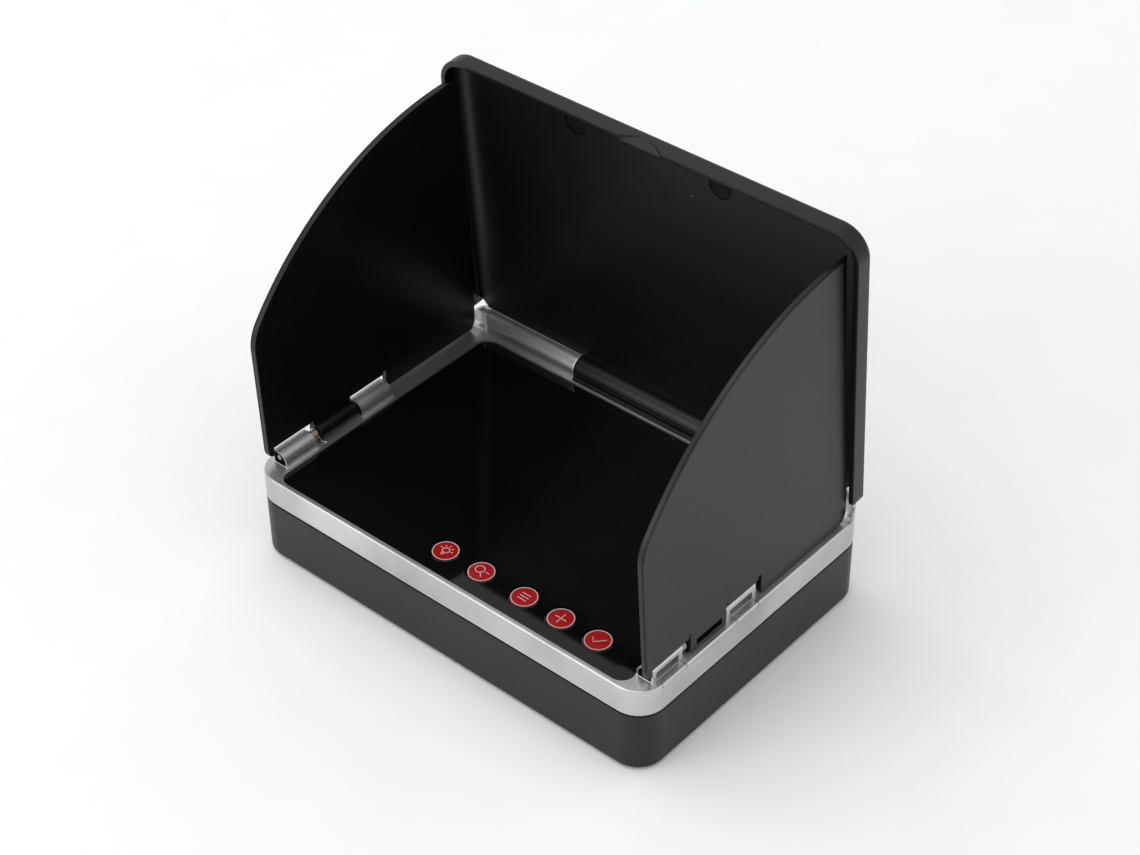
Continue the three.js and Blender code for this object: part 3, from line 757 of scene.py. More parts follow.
# %% The ridge halves and the barrel's cradle
FOOT_FULL, FOOT_START = 59.8, 57.0
FOOT_REACH, FOOT_HEIGHT = 1.7, 1.9
FALL_START, FALL_LENGTH = 60.2, 5.6
CRADLE_FRONT = 36.9


def rear_limit(x):
    """How far back the case reaches at this x."""
    over = max(0.0, abs(x) - (HALF_X - CORNER))
    return HALF_Y - CORNER + math.sqrt(max(0.0, CORNER ** 2 - over ** 2))


def ridge_section(x):
    """The closed (y, z) outline of the ridge at x: foot, wall and round back."""
    grown = min(1.0, max(0.0, (abs(x) - FOOT_START) / (FOOT_FULL - FOOT_START)))
    grown = grown * grown * (3 - 2 * grown)
    reach, height = 0.02 + FOOT_REACH * grown, 0.02 + FOOT_HEIGHT * grown
    wall = RIDGE_FRONT + reach - 0.02
    section = [(wall - reach, BEZEL_TOP - 0.6)]
    for i in range(9):
        angle = math.radians(90 * i / 8)
        section.append((wall - reach + reach * math.sin(angle),
                        BEZEL_TOP - 0.01 + height * (1 - math.cos(angle))))
    meet = 180 - math.degrees(math.acos(min(1.0, (RIDGE_Y - wall) / RIDGE_R)))
    section += arc(RIDGE_Y, RIDGE_Z, RIDGE_R, meet, 0, 20)
    section.append((RIDGE_Y + RIDGE_R, BEZEL_TOP - 0.6))
    limit = rear_limit(x)
    fall = math.sqrt(1 - (max(0.0, abs(x) - FALL_START) / FALL_LENGTH) ** 2)
    return [(min(y, limit), BEZEL_TOP + (z - BEZEL_TOP) * (fall if z > BEZEL_TOP else 1.0))
            for y, z in section]


def make_ridge(side):
    """One half of the ridge, from the barrel's gap to the case corner."""
    places = [TROUGH_HALF, 26.62, 26.8, 40.0, 50.0] + [FOOT_START + 0.35 * i for i in range(9)]
    places += [60.2, 60.7, 61.2, 61.8, 62.4, 63.0, 63.6, 64.1, 64.5, 64.8, 64.93, 64.98]
    rings = []
    for index, x in enumerate(places):
        shrink = (0.14, 0.04, 0.0)[index] if index < 3 else 0.0
        section = ridge_section(x)
        middle = Vector((RIDGE_Y, BEZEL_TOP))
        ring = []
        for y, z in section:
            lean = Vector((y, z)) - middle
            eased = middle + lean * (1 - shrink / max(lean.length, 1.0))
            ring.append((side * x, eased.x, max(eased.y, BEZEL_TOP - 0.6)))
        rings.append(ring)
    return make_object(f"ridge_{'left' if side < 0 else 'right'}", *loft(rings))


def make_cradle():
    """The low front and rear walls beside the lid's barrel."""
    rear_top = 26.6
    start = math.degrees(math.acos(-RIDGE_R / TROUGH_R))
    low = 180 + (180 - start)
    end = -math.degrees(math.asin((RIDGE_Z - rear_top) / TROUGH_R))
    lip_top = RIDGE_Z - TROUGH_R * math.sin(math.radians(180 - start)) - 0.1
    section = [(CRADLE_FRONT, BEZEL_TOP - 0.6), (CRADLE_FRONT, BEZEL_TOP + 0.06),
               (CRADLE_FRONT + 0.12, BEZEL_TOP + 0.1), (RIDGE_FRONT - 0.1, BEZEL_TOP + 0.1),
               (RIDGE_FRONT - 0.02, BEZEL_TOP + 0.2), (RIDGE_FRONT, lip_top)]
    section += arc(RIDGE_Y, RIDGE_Z, TROUGH_R, low, 360 + end, 24)
    section += [(RIDGE_Y + RIDGE_R - 0.15, rear_top), (RIDGE_Y + RIDGE_R, 26.45),
                (RIDGE_Y + RIDGE_R, BEZEL_TOP - 1.8), (RIDGE_Y + 2, 24.0), (RIDGE_Y - 2, 24.0)]
    rings = [[(x, y, z) for y, z in section] for x in (-TROUGH_HALF, TROUGH_HALF)]
    return make_object("barrel_cradle", *loft(rings))


for side in (-1, 1):
    finish(make_ridge(side), "base", "silver_bezel", silver_paint)
finish(make_cradle(), "base", "black_case", case_black)

# %% [markdown]
# ## Fixed hinge knuckles
# Each wing turns between two silver knuckles. From inside they are smooth rounded
# shoulders; from outside they are open frames, a bar over two posts, so that the steel
# pin shows. One solid profile is cut by a pocket and its edges are rounded afterwards.

# %% Silver knuckles
KNUCKLE_R = 2.9
KNUCKLE_OUT = 2.0
KNUCKLE_Z = WING_Z - 0.9
KNUCKLE_WALL = 0.45
POST, END_HOLLOW = 1.35, 1.1
KNUCKLE_CORNER, PIN_HOLE_R = 0.5, 0.72


def knuckle_section(inset, low):
    """The knuckle's closed (outward, height) outline, drawn in by an inset."""
    radius, corner = KNUCKLE_R - inset, KNUCKLE_CORNER
    side_wall, roof = KNUCKLE_OUT - inset, KNUCKLE_Z + KNUCKLE_R - inset
    section = [(-radius, low)] + arc(0, KNUCKLE_Z, radius, 180, 105, 12)
    if inset == 0:
        section += arc(-0.45, roof - 0.03, 0.3, 180, 360, 8)
    section += arc(side_wall - corner, roof - corner, corner, 90, 0, 5)
    section.append((side_wall, low))
    return section


def make_knuckle(side, span, label):
    """One fixed knuckle with its window, its hollow ends and its pin hole."""
    def slice_of(name, inset, low, start, end):
        """The section, drawn in by an inset, from one y to another."""
        rings = [[(side * (WING_X + x), y, z) for x, z in knuckle_section(inset, low)]
                 for y in (start, end)]
        return make_object(name, *loft(rings))

    knuckle = slice_of(f"knuckle_{label}", 0, BEZEL_TOP - 0.4, *span)
    inner, outer = side * (WING_X - 1.5), side * (WING_X + 4)
    floor_level = BEZEL_TOP + 0.2
    pocket = block("pocket", min(inner, outer), max(inner, outer), span[0] + POST,
                   span[1] - POST, floor_level, WING_Z + 0.5)
    ends = (span[0] - 1, span[0] + END_HOLLOW), (span[1] - END_HOLLOW, span[1] + 1)
    hollows = [slice_of("hollow", KNUCKLE_WALL, floor_level, start, end) for start, end in ends]
    hole = rod("pin_hole", "y", side * WING_X, WING_Z, PIN_HOLE_R, span[0] - 1, span[1] + 1, 24)
    carve(knuckle, pocket, *hollows, hole)
    soften(knuckle, 0.14, 2, 50)
    # The second finish, black, is painted shade in the hollow ends.
    finish(knuckle, "base", "silver_bezel", [silver_paint, case_black])
    shade_hollow_ends(knuckle, side, span)


def shade_hollow_ends(knuckle, side, span):
    """The hollow ends get the black finish as painted shade inside them."""
    for polygon in knuckle.data.polygons:
        x, y, z = polygon.center / MM
        out, up = side * x - WING_X, z - KNUCKLE_Z
        inside = out < KNUCKLE_OUT - 0.3 and math.hypot(min(out, 0), max(up, 0)) < KNUCKLE_R - 0.3
        depth = min(y - span[0], span[1] - y)
        if inside and 0.25 < depth < END_HOLLOW + 0.05 and up < KNUCKLE_R - 0.3:
            polygon.material_index = 1


def make_base_line(side, span, label):
    """The thin raised step on the inner side of a knuckle."""
    inner = WING_X - KNUCKLE_R - 0.35
    section = [(inner + across, BEZEL_TOP + up) for across, up in
               ((0, -0.2), (0.03, 0.05), (0.3, 0.17), (0.7, 0.17), (0.7, -0.2))]
    rings = [[(side * x, y, z) for x, z in section] for y in span]
    step = make_object(f"knuckle_step_{label}", *loft(rings))
    return finish(step, "base", "silver_bezel", silver_paint)


SIDES = ((-1, "left"), (1, "right"))
for side, word in SIDES:
    for end, span in (("front", FRONT_KNUCKLE), ("rear", REAR_KNUCKLE)):
        make_knuckle(side, span, f"{word}_{end}")
    for end, span in (("front", FRONT_KNUCKLE), ("rear", REAR_KNUCKLE)):
        make_base_line(side, (span[0] - 0.2, span[1] + 0.2), f"{word}_{end}")

# %% [markdown]
# ## Window
# A flat sheet with a tiny polished edge, and five round holes for the keys. Its top sits
# a little under the bezel, so the bezel's rim draws a thin line around it.

# %% The glossy window
KEY_HOLE_R = 4.2


def make_window():
    """The sheet, lofted with a polished rim, then drilled for the keys."""
    steps = [(0.25, WINDOW_TOP - 1.3), (0.15, WINDOW_TOP - 1.2), (0.15, WINDOW_TOP - 0.15),
             (0.19, WINDOW_TOP - 0.04), (0.3, WINDOW_TOP)]
    sheet = make_object("window_sheet", *loft([window_ring(inset, z) for inset, z in steps]))
    drills = [rod("key_hole", "z", x, KEY_Y, KEY_HOLE_R, 20, 30, 64) for x in KEY_SPOTS.values()]
    return carve(sheet, *drills)


finish(make_window(), "base", "window_gloss", window_black, "display_window")

# %% [markdown]
# ## Keys
# Each key is a flush round cap: red in the middle, a pale ring, and black at its rim so
# that it disappears into the window. The marks are generic signs made of thin printed
# strokes: a lamp with rays, a magnifier with a minus, a three-bar menu, a plus and a
# tick. A turned profile makes the cap and short ribbons make the strokes, in one mesh.

# %% Key caps and their printed signs
KEY_RED_R, KEY_RING_R, KEY_CAP_R = 3.16, 3.43, 4.08
KEY_LOW, KEY_FLANGE_R = 22.9, 5.0
STROKE, PRINT = 0.23, 0.03


def ribbon(points, width=STROKE, loop=False):
    """Points and faces of a printed stroke along a flat line."""
    line = [Vector(p) for p in points]
    count = len(line)
    top, verts, faces = [], [], []
    for i, p in enumerate(line):
        before = line[i - 1] if i or loop else p
        after = line[(i + 1) % count] if i + 1 < count or loop else p
        along = (after - before).normalized()
        side = Vector((-along.y, along.x)) * width / 2
        top.append((p + side, p - side))
    for level in (0.0, PRINT):
        for left, right in top:
            verts += [(left.x, left.y, level), (right.x, right.y, level)]
    shift = 2 * count
    for i in range(count if loop else count - 1):
        a, b, c, d = 2 * i, 2 * i + 1, 2 * ((i + 1) % count) + 1, 2 * ((i + 1) % count)
        faces += [(a + shift, b + shift, c + shift, d + shift), (d, c, b, a),
                  (a, d, d + shift, a + shift), (c, b, b + shift, c + shift)]
    if not loop:
        faces += [(1, 0, shift, 1 + shift), (shift - 2, shift - 1, 2 * shift - 1, 2 * shift - 2)]
    return verts, faces


LAMP_RAYS = [[(reach * math.cos(math.radians(a)), reach * math.sin(math.radians(a)) + 0.1)
              for reach in (1.4, 2.0)] for a in (10, 50, 90, 130, 170)]
SIGNS = {
    "light": [(arc(0, 0.1, 0.95, -60, 240, 24), False), ([(-0.48, -0.72), (0.48, -0.72)], False),
              ([(-0.45, -1.15), (0.45, -1.15)], False), ([(-0.3, -1.55), (0.3, -1.55)], False)]
             + [(ray, False) for ray in LAMP_RAYS],
    "zoom_out": [(arc(-0.85, 0.5, 1.2, 0, 350, 35), True), ([(0.02, -0.38), (1.1, -1.55)], False),
                 ([(1.0, 0.5), (2.3, 0.5)], False)],
    "menu": [([(-1.4, h), (1.4, h)], False) for h in (1.0, 0.0, -1.0)],
    "plus": [([(-1.75, 0.0), (1.75, 0.0)], False), ([(0.0, -1.75), (0.0, 1.75)], False)],
    "confirm": [([(-1.6, 0.05), (-0.5, -1.15), (1.65, 1.25)], False)],
}


def make_key(name, x):
    """A cap with its ring and its sign; materials 0 red, 1 pale, 2 black."""
    top = WINDOW_TOP - 0.02
    profile = [(0, KEY_LOW), (KEY_FLANGE_R, KEY_LOW), (KEY_FLANGE_R, LEDGE_TOP),
               (KEY_CAP_R, LEDGE_TOP + 0.05), (KEY_CAP_R, top - 0.1),
               (KEY_CAP_R - 0.03, top - 0.03), (KEY_CAP_R - 0.1, top), (KEY_RING_R, top),
               (KEY_RED_R, top), (0, top)]
    cap = lathe(f"cap_{name}", profile, 96, Matrix.Translation(Vector((x, KEY_Y, 0)) * MM))
    for polygon in cap.data.polygons:
        reach = (Vector(polygon.center.xy) / MM - Vector((x, KEY_Y))).length
        polygon.material_index = 0 if polygon.center.z / MM > top - 0.01 else 2
        if polygon.center.z / MM > top - 0.01 and reach > KEY_RED_R:
            polygon.material_index = 1 if reach < KEY_RING_R else 2
    joined = bmesh.new()
    joined.from_mesh(cap.data)
    for points, loop in SIGNS[name]:
        verts, faces = ribbon(points, loop=loop)
        made = [joined.verts.new(((x + u) * MM, (KEY_Y + v) * MM, (top + w - 0.005) * MM))
                for u, v, w in verts]
        for face in faces:
            joined.faces.new([made[i] for i in face]).material_index = 1
    bmesh.ops.recalc_face_normals(joined, faces=joined.faces)
    joined.to_mesh(cap.data)
    joined.free()
    return finish(cap, f"key_{name}", "key_red", [key_red, key_pale, window_black], f"key_{name}")


for name, x in KEY_SPOTS.items():
    make_key(name, x)

# %% [markdown]
# ## Hood lid
# The lid is a shallow tray: a panel with a rim along its top and both sides, open at the
# bottom. Its rim is swept as one profile around three sides; the panel fills the middle.
# A fingernail scoop is cut in the top rim, and the whole lid leans forward a few degrees
# about its hinge line, so it is built upright and turned at the end.

# %% The leaning tray
SCOOP_X, SCOOP_R, SCOOP_DEEP = 0.6, 10.3, 2.3
MAGNET_X, MAGNET_Z, MAGNET_R, MAGNET_DEEP = (-22.5, 22.5), 81.0, 3.4, 0.45
LID_TURN = (Matrix.Translation(Vector((0, RIDGE_Y, RIDGE_Z)) * MM)
            @ Matrix.Rotation(math.radians(LID_LEAN), 4, "X"))


def lid_path(inset):
    """The lid's open outline from the lower left, over the top, to the lower right."""
    x, top, radius = HALF_X - inset, LID_HIGH - inset, max(CORNER - inset, 0.5)
    points = [(-x, LID_LOW), (-x, 30.0), (-x, 60.0)]
    points += arc(-x + radius, top - radius, radius, 180, 90, 12)
    points += [(-30.0, top), (0.0, top), (30.0, top)]
    points += arc(x - radius, top - radius, radius, 90, 0, 12)
    points += [(x, 60.0), (x, 30.0), (x, LID_LOW)]
    return points


def make_scoop_cutter():
    """A slice with a sloping floor and a curved back, for the fingernail scoop."""
    curve = arc(SCOOP_X, LID_RIM + SCOOP_DEEP - SCOOP_R, SCOOP_R, 38, 142, 24)
    outline = [(SCOOP_X + 9, LID_RIM - 3)] + curve + [(SCOOP_X - 9, LID_RIM - 3)]
    slope = (LID_WALL - 0.1) / SCOOP_DEEP
    floor_level = [(x, depth, LID_HIGH - LID_WALL + 0.05 + (depth - LID_RIM) * slope)
                   for x, depth in outline]
    above = [(x, depth, LID_HIGH + 5) for x, depth in outline]
    return make_object("scoop", *loft([floor_level, above]))


def make_lid():
    """Panel and rim in one closed skin, with the scoop cut out."""
    wall = LID_WALL
    inner = LID_BACK - wall
    profile = [(1.0, LID_BACK), (0.6, LID_BACK - 0.08), (0.25, LID_BACK - 0.3),
               (0.05, LID_BACK - 0.7), (0.0, LID_BACK - 1.1), (0.0, LID_RIM + 0.3), (0.08, LID_RIM + 0.09), (0.3, LID_RIM),
               (wall - 0.35, LID_RIM), (wall - 0.1, LID_RIM + 0.08), (wall, LID_RIM + 0.3),
               (wall, inner - 0.9), (wall + 0.12, inner - 0.45), (wall + 0.4, inner - 0.12),
               (wall + 0.9, inner)]
    rings = [[(x, depth, z) for x, z in lid_path(inset)] for inset, depth in profile]
    count, levels = len(rings[0]), len(rings)
    points = [p for ring in rings for p in ring]
    faces = []
    for level in range(levels - 1):
        for i in range(count - 1):
            a = level * count + i
            faces.append((a, a + 1, a + count + 1, a + count))
    faces.append(tuple(range(count)))
    faces.append(tuple((levels - 1) * count + i for i in range(count)))
    faces.append(tuple([level * count for level in range(levels)]
                       + [level * count + count - 1 for level in reversed(range(levels))]))
    lid = make_object("lid_tray", points, faces)
    notches = []
    for side in (-1, 1):
        corner = [(side * (HALF_X - wall - across), LID_LOW + up)
                  for across, up in ((0, -1), (0, 2.6), (2.0, 1.9), (4.6, -1))]
        slices = [[(x, depth, z) for x, z in corner] for depth in (inner - 0.9, 4)]
        notches.append(make_object("notch", *loft(slices)))
    pockets = [rod("pocket", "y", x, MAGNET_Z, MAGNET_R, inner - 2, inner + MAGNET_DEEP, 48)
               for x in MAGNET_X]
    carve(lid, make_scoop_cutter(), *notches, *pockets)
    lid.data.transform(LID_TURN)
    return lid


def make_lid_barrel():
    """The round hinge barrel and the neck that carries the panel."""
    front, back = LID_BACK - LID_WALL - 0.02, LID_BACK - 0.02
    neck_low, chamfer = 3.4, 0.2
    back_turn = math.degrees(math.acos(back / BARREL_R))
    front_turn = math.degrees(math.acos(front / BARREL_R))
    section = arc(0, 0, BARREL_R, back_turn, front_turn - 360, 48)
    section += [(front, LID_LOW + 0.8), (back, LID_LOW + 0.8)]
    rings = []
    for x, shrink in ((-BARREL_HALF, chamfer), (-BARREL_HALF + chamfer, 0.0),
                      (BARREL_HALF - chamfer, 0.0), (BARREL_HALF, chamfer)):
        rings.append([(x, y * (1 - shrink / BARREL_R),
                       z - (shrink if z > neck_low else z * shrink / BARREL_R))
                      for y, z in section])
    return make_object("lid_barrel", *loft(rings), turn=LID_TURN)


finish(make_lid(), "lid", "black_hood", hood_black, "hood_lid")
finish(make_lid_barrel(), "lid", "black_hood", hood_black)

# %% [markdown]
# ## Wings
# The wings are flat curved plates. Their front edge is rounded on the inside and has a
# fine groove just behind the outer face, where the two halves of the mould met. A loft
# through the plate's thickness, with the outline drawn in a little at each edge, makes
# rounding and groove together. The moving knuckle is a slotted barrel joined to the foot.

# %% The outline of a wing
TOP_Y, TOP_Z, TOP_R = 32.1, -9.4, 89.3
FRONT_START, FRONT_Y, FRONT_EASE, FRONT_DROP = -40.2, -42.3, 3.2, 7
TOE = ((-41.0, 3.4), (-40.9, 0.6), (-38.9, 0.6))
FOOT, KNUCKLE_GAP = -1.4, 3.2


def top_height(y):
    """How high the wing's big curve stands above the hinge line at y."""
    return math.sqrt(TOP_R ** 2 - (y - TOP_Y) ** 2) + TOP_Z


def bend(first, pull, last, steps):
    """Points after the first on a curve between two points, pulled towards a third."""
    return [tuple(a * (1 - t) ** 2 + b * 2 * t * (1 - t) + c * t * t
                  for a, b, c in zip(first, pull, last))
            for t in (i / steps for i in range(1, steps + 1))]


def wing_outline(rear):
    """The outline as (y, height above the hinge line); rear is its upper rear corner."""
    high = top_height(FRONT_START)
    rear_angle, front_angle = (math.degrees(math.atan2(top_height(y) - TOP_Z, y - TOP_Y))
                               for y in (rear, FRONT_START))
    points = [(35.9, FOOT), (37.1, 0.6), (37.1, 6.1)]
    points += arc(TOP_Y, TOP_Z, TOP_R, rear_angle, front_angle, 60)
    points += bend((FRONT_START, high), (FRONT_Y, high - FRONT_EASE),
                   (FRONT_Y, high - FRONT_DROP), 8)
    points += [TOE[0]] + bend(*TOE, 6)
    near, far = WING_KNUCKLE
    points += [(-38.9, KNUCKLE_GAP), (near - 0.2, KNUCKLE_GAP), (near, KNUCKLE_GAP - 0.2),
               (near, FOOT), (far, FOOT), (far, KNUCKLE_GAP - 0.2), (far + 0.2, KNUCKLE_GAP),
               (1.2, KNUCKLE_GAP), (1.2, 4.1), (2.3, 4.1), (2.3, FOOT)]
    return points


print("wing height:", round(top_height(TOP_Y), 1), "mm above its hinge line")

# %% The side wings
REAR_EDGE, LIP_EDGE, LIP_DEPTH = 29.7, 32.7, 1.25
PLATE = [(0.3, 0.7), (0.1, 0.76), (0.02, 0.88), (0.0, 1.05), (0.0, LIP_DEPTH), (0.0, 1.98),
         (0.16, 2.0), (0.16, 2.13), (0.0, 2.15), (0.0, 2.25), (0.06, 2.42), (0.22, 2.5)]
WING_BARREL_R, WING_BORE_R = 2.28, 0.85
NOTCH_TOP = 4.3


def make_wing(side, word):
    """One plate with its moving knuckle, leaned inwards about its hinge line."""
    near, far = WING_KNUCKLE
    outline, lip = wing_outline(REAR_EDGE), wing_outline(LIP_EDGE)
    rings = [[(side * depth, y, z)
              for y, z in inset_loop(lip if depth <= LIP_DEPTH else outline, inset)]
             for inset, depth in PLATE]
    rings.insert(5, [(side * (LIP_DEPTH + 0.01), y, z) for y, z in outline])
    wing = make_object(f"wing_plate_{word}", *loft(rings))
    barrel = rod("barrel", "y", 0, 0, WING_BARREL_R, near + 0.02, far - 0.02, 48)
    soften(barrel, 0.2, 2, 50)
    carve(wing, barrel, operation="UNION")
    scores = [block("score", *sorted((side * 0.2, side * 0.95)), y, y + 0.3, 3.0, 8.0)
              for y in (near - 0.35, far + 0.05)]
    notches = [block("notch", *sorted((side * 1.6, side * 4)), y, y + 0.55, 2.6, NOTCH_TOP)
               for y in (near - 0.5, far + 0.05)]
    slot = block("slot", *sorted((side * 1.3, side * 4)), near + 2.3, far - 1.8, -0.7, 1.1)
    bore = rod("bore", "y", 0, 0, WING_BORE_R, near - 1, far + 1, 24)
    carve(wing, *scores, *notches, slot, bore)
    place = Matrix.Translation(Vector((side * WING_X, 0, WING_Z)) * MM)
    wing.data.transform(place @ Matrix.Rotation(math.radians(-side * WING_LEAN), 4, "Y"))
    return finish(wing, f"{word}_wing", "black_hood", hood_black, f"{word}_wing")


for side, word in SIDES:
    make_wing(side, word)

# %% [markdown]
# ## Growing small parts with Geometry Nodes
# Some small parts repeat or follow a path: the wing springs are one wire wound round a
# pin, the case screws are one screw four times, and the hood carries round mould marks.
# Each is a node tree with named sizes. A tree runs on a handful of points, and its result
# is kept as a plain mesh, so nothing live is left on the piece.

# %% Geometry Nodes helpers
def start_tree(name, sizes, places=()):
    """A tree with float sizes and vector places as named inputs, and a Finish."""
    tree = bpy.data.node_groups.new(name, "GeometryNodeTree")
    tree.interface.new_socket("Geometry", in_out="INPUT", socket_type="NodeSocketGeometry")
    for label in sizes:
        tree.interface.new_socket(label, in_out="INPUT", socket_type="NodeSocketFloat")
    for label in places:
        tree.interface.new_socket(label, in_out="INPUT", socket_type="NodeSocketVector")
    tree.interface.new_socket("Finish", in_out="INPUT", socket_type="NodeSocketMaterial")
    tree.interface.new_socket("Geometry", in_out="OUTPUT", socket_type="NodeSocketGeometry")
    return tree, tree.nodes.new("NodeGroupInput").outputs


def end_tree(tree, geometry, finish_socket):
    """Realizes what was instanced and sets its material, as the last nodes."""
    real = add_node(tree, "GeometryNodeRealizeInstances", Geometry=geometry).outputs[0]
    painted = add_node(tree, "GeometryNodeSetMaterial", Geometry=real,
                       Material=finish_socket).outputs[0]
    add_node(tree, "NodeGroupOutput", Geometry=painted)
    return tree


def grow(name, tree, points, edges=(), **values):
    """Runs a tree on a few points, sizes in metres, and keeps the mesh that it makes."""
    mesh = bpy.data.meshes.new(name)
    mesh.from_pydata([tuple(c * MM for c in p) for p in points], list(edges), [])
    obj = bpy.data.objects.new(name, mesh)
    change = obj.modifiers.new("grow", "NODES")
    change.node_group = tree
    for item in tree.interface.items_tree:
        key = item.name.replace(" ", "_")
        if item.in_out == "INPUT" and key in values:
            change[item.identifier] = values[key]
    bpy.context.scene.collection.objects.link(obj)
    return keep_result(obj)


print("growing helpers ready")

# %% [markdown]
# ## Wing springs
# A spring presses each wing open. It is a coil between the fixed and the moving knuckle,
# with one leg that rests on the bezel. The coil is a spiral curve laid along the hinge,
# the leg is drawn as edges, and one round profile is swept along both.

# %% Coiled wing springs
SPRING_FRONT, SPRING_REAR = -27.3, -25.2
SPRING_COIL_R, SPRING_WIRE = 1.42, 0.15
SPRING_TURNS = 5.0


def spring_tree():
    """A coil that starts at Place, turned by Turn, joined to the object's own edges."""
    tree, given = start_tree("coil_spring", ("Turns", "Radius", "Length", "Wire"),
                             ("Place", "Turn"))
    coil = add_node(tree, "GeometryNodeCurveSpiral", Resolution=28, Rotations=given["Turns"],
                    Start_Radius=given["Radius"], End_Radius=given["Radius"],
                    Height=given["Length"]).outputs[0]
    coil = add_node(tree, "GeometryNodeTransform", Geometry=coil, Translation=given["Place"],
                    Rotation=given["Turn"]).outputs[0]
    leg = add_node(tree, "GeometryNodeMeshToCurve", Mesh=given["Geometry"]).outputs[0]
    both = tree.nodes.new("GeometryNodeJoinGeometry")
    tree.links.new(coil, both.inputs[0])
    tree.links.new(leg, both.inputs[0])
    wire = add_node(tree, "GeometryNodeCurvePrimitiveCircle", Resolution=8,
                    Radius=given["Wire"]).outputs[0]
    swept = add_node(tree, "GeometryNodeCurveToMesh", Curve=both.outputs[0], Profile_Curve=wire,
                     Fill_Caps=True).outputs[0]
    return end_tree(tree, swept, given["Finish"])


COIL = spring_tree()
for side, word in SIDES:
    inner = WING_X - SPRING_COIL_R
    leg = [(side * inner, SPRING_REAR, WING_Z),
           (side * (inner - 0.15), SPRING_REAR + 0.02, WING_Z - 0.9),
           (side * (inner - 0.6), SPRING_REAR + 0.1, BEZEL_TOP + 0.35),
           (side * (inner - 1.2), SPRING_REAR + 0.5, BEZEL_TOP + 0.16),
           (side * (inner - 1.7), SPRING_REAR + 1.0, BEZEL_TOP + 0.14)]
    start = SPRING_FRONT if side < 0 else SPRING_REAR
    spring = grow(f"spring_{word}", COIL, leg, [(i, i + 1) for i in range(len(leg) - 1)],
                  Turns=SPRING_TURNS, Radius=SPRING_COIL_R * MM,
                  Length=(SPRING_REAR - SPRING_FRONT) * MM, Wire=SPRING_WIRE * MM,
                  Place=(side * WING_X * MM, start * MM, WING_Z * MM),
                  Turn=(-math.pi / 2, 0.0, 0.0 if side < 0 else math.pi), Finish=spring_copper)
    finish(spring, "base", "spring_copper", [], f"{word}_wing_spring", angle=60)

# %% [markdown]
# ## Case screws
# Four cross-head screws sit in wells under the case. A screw is three cones, one for the
# chamfered rim, one for the head and one for the shaft, with a cross cut into the head;
# the tree makes it once and puts it at four points.

# %% Case screws
def stack_cone(tree, bottom, top, depth, lift):
    """A cone frustum standing at a height."""
    cone = add_node(tree, "GeometryNodeMeshCone", Vertices=40, Radius_Bottom=bottom,
                    Radius_Top=top, Depth=depth).outputs[0]
    place = add_node(tree, "ShaderNodeCombineXYZ", Z=lift).outputs[0]
    return add_node(tree, "GeometryNodeTransform", Geometry=cone, Translation=place).outputs[0]


def screw_tree():
    """A cross-head screw on every point, its head at the bottom."""
    tree, given = start_tree("cross_screws", (
        "Head Radius", "Head Height", "Shaft Radius", "Shaft Height",
        "Cross Length", "Cross Width", "Cross Depth"))
    rim_high = do_math(tree, "MULTIPLY", given["Head Height"], 0.15)
    rim_low_radius = do_math(tree, "MULTIPLY", given["Head Radius"], 0.88)
    rim = stack_cone(tree, rim_low_radius, given["Head Radius"], rim_high, 0.0)
    head = stack_cone(tree, given["Head Radius"], given["Head Radius"],
                      do_math(tree, "MULTIPLY", given["Head Height"], 0.85), rim_high)
    shaft = stack_cone(tree, given["Shaft Radius"], given["Shaft Radius"], given["Shaft Height"],
                       given["Head Height"])
    joined = tree.nodes.new("GeometryNodeMeshBoolean")
    joined.operation = "UNION"
    for part in (rim, head, shaft):
        tree.links.new(part, joined.inputs["Mesh 2"])
    cross = tree.nodes.new("GeometryNodeMeshBoolean")
    cross.operation = "DIFFERENCE"
    tree.links.new(joined.outputs[0], cross.inputs["Mesh 1"])
    depth = do_math(tree, "MULTIPLY", given["Cross Depth"], 2.0)
    for x, y in (("Cross Length", "Cross Width"), ("Cross Width", "Cross Length")):
        size = add_node(tree, "ShaderNodeCombineXYZ", X=given[x], Y=given[y], Z=depth).outputs[0]
        bar = add_node(tree, "GeometryNodeMeshCube", Size=size).outputs[0]
        tree.links.new(bar, cross.inputs["Mesh 2"])
    screws = add_node(tree, "GeometryNodeInstanceOnPoints", Points=given["Geometry"],
                      Instance=cross.outputs[0])
    return end_tree(tree, screws.outputs[0], given["Finish"])


SCREW_SUNK = 0.8
screws = grow("case_screws", screw_tree(), [(x, y, SCREW_SUNK) for x, y in SCREWS],
              Head_Radius=2.9 * MM,
              Head_Height=2.05 * MM, Shaft_Radius=1.2 * MM, Shaft_Height=18.15 * MM,
              Cross_Length=3.6 * MM, Cross_Width=0.7 * MM, Cross_Depth=1.1 * MM, Finish=pin_steel)
finish(screws, "base", "pin_steel", [], *[f"case_screw_{i}" for i in range(1, 5)])

# %% [markdown]
# ## Hood magnets and mould marks
# Two small round magnets sit in pockets under the lid's top rim and hold the wings when
# they are folded. The mould's ejector pins left faint rings on the wings' inner faces.
# Both are a flat round shape repeated at points of one face, turned to face its way.

# %% Magnets and ejector rings
def disc_tree():
    """A thin disc on every point, turned by Facing."""
    tree, given = start_tree("round_discs", ("Radius", "Thickness"), ("Facing",))
    disc = stack_cone(tree, given["Radius"], given["Radius"], given["Thickness"], 0.0)
    discs = add_node(tree, "GeometryNodeInstanceOnPoints", Points=given["Geometry"], Instance=disc,
                     Rotation=given["Facing"])
    return end_tree(tree, discs.outputs[0], given["Finish"])


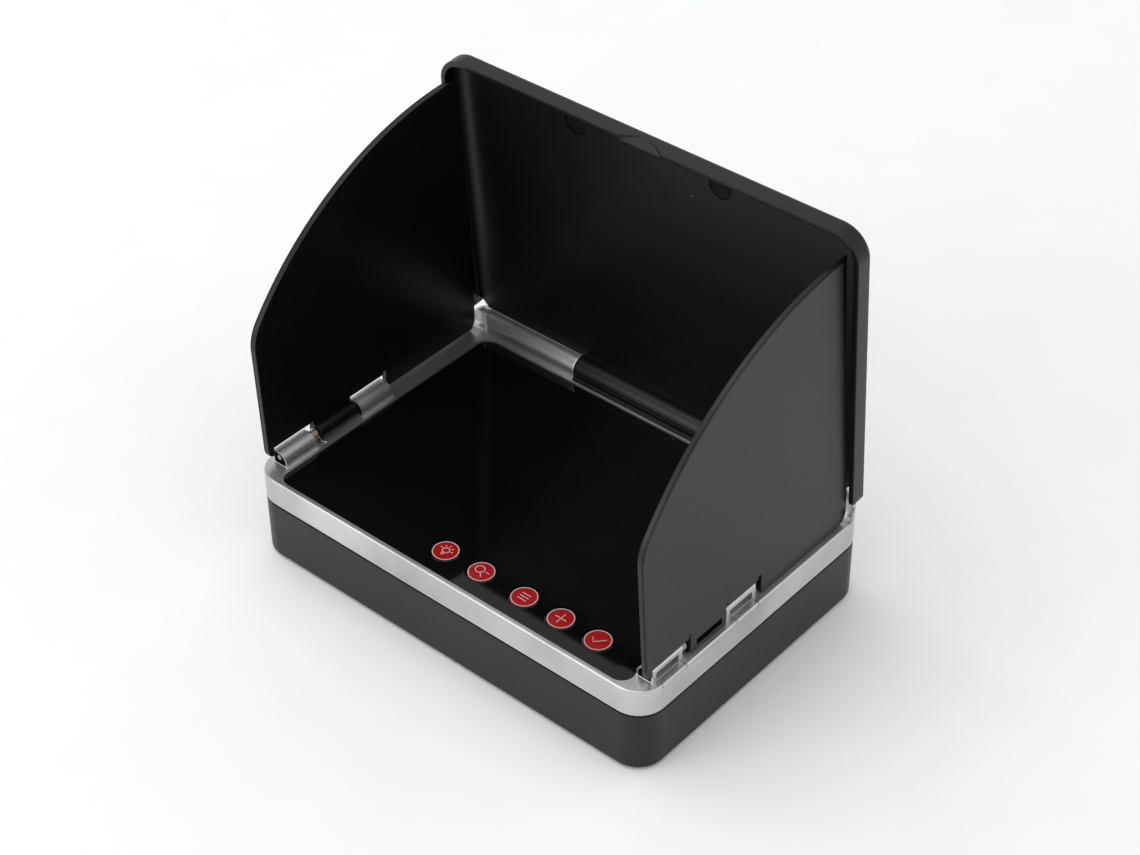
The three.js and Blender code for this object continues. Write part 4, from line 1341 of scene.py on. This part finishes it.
def ring_tree():
    """A thin round ring on every point, turned by Facing."""
    tree, given = start_tree("round_rings", ("Radius", "Wire"), ("Facing",))
    path, wire = (add_node(tree, "GeometryNodeCurvePrimitiveCircle", Resolution=steps,
                           Radius=given[size]).outputs[0]
                  for steps, size in ((48, "Radius"), (6, "Wire")))
    ring = add_node(tree, "GeometryNodeCurveToMesh", Curve=path, Profile_Curve=wire).outputs[0]
    rings = add_node(tree, "GeometryNodeInstanceOnPoints", Points=given["Geometry"], Instance=ring,
                     Rotation=given["Facing"])
    return end_tree(tree, rings.outputs[0], given["Finish"])


magnet_face = LID_BACK - LID_WALL + MAGNET_DEEP - 0.02
magnets = grow("lid_magnets", disc_tree(), [(x, magnet_face, MAGNET_Z) for x in MAGNET_X],
               Radius=(MAGNET_R - 0.15) * MM, Thickness=0.25 * MM, Facing=(math.pi / 2, 0.0, 0.0),
               Finish=disc_black)
magnets.data.transform(LID_TURN)
finish(magnets, "lid", "black_hood", [])
RINGS = ring_tree()
RING_SPOTS = ((-7.0, 66.1), (-37.0, 41.1), (-33.5, 13.5), (18.0, 30.0))
RING_R, RING_WIRE, WING_INNER_FACE = 2.9, 0.03, 0.7
lean = math.radians(WING_LEAN)
for side, word in SIDES:
    marks = []
    for y, high in RING_SPOTS:
        reach = WING_X + WING_INNER_FACE * math.cos(lean) - high * math.sin(lean)
        marks.append((side * reach, y, WING_Z + high * math.cos(lean)))
    rings = grow(f"ejector_rings_{word}", RINGS, marks, Radius=RING_R * MM, Wire=RING_WIRE * MM,
                 Facing=(0.0, math.pi / 2 - side * lean, 0.0), Finish=hood_black)
    finish(rings, f"{word}_wing", "black_hood", [])

# %% [markdown]
# ## Carried-over CAD nodes
# What is hidden inside, and the plain pins, already have the right shape. They stay as
# they are and only get a finish, by filling their own material slots.

# %% Finishes for the carried-over nodes
NODE_FINISH = {
    "case_seal": seal_rubber, "window_tape": seal_rubber, "screen_panel": screen_dark,
    "light_tray": tray_steel, "film_cable": film_amber, "key_board": board_green,
    "main_board": board_green, "battery_pad": seal_rubber, "battery_pack": cell_wrap,
    "camera_socket": socket_nickel, "socket_nut": socket_nickel, "charge_jack": jack_black,
    "left_wing_pin": pin_steel, "right_wing_pin": pin_steel, "lid_pin_left": pin_steel,
    "lid_pin_right": pin_steel,
}
for i in range(1, 6):
    NODE_FINISH[f"key_switch_{i}"] = jack_black
for i in range(1, 5):
    NODE_FINISH[f"board_screw_{i}"] = pin_steel
for name, material in NODE_FINISH.items():
    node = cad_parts[name]
    for slot in node.material_slots:
        slot.material = material
    if not node.material_slots:
        node.data.materials.append(material)
print("finished nodes:", len(NODE_FINISH))
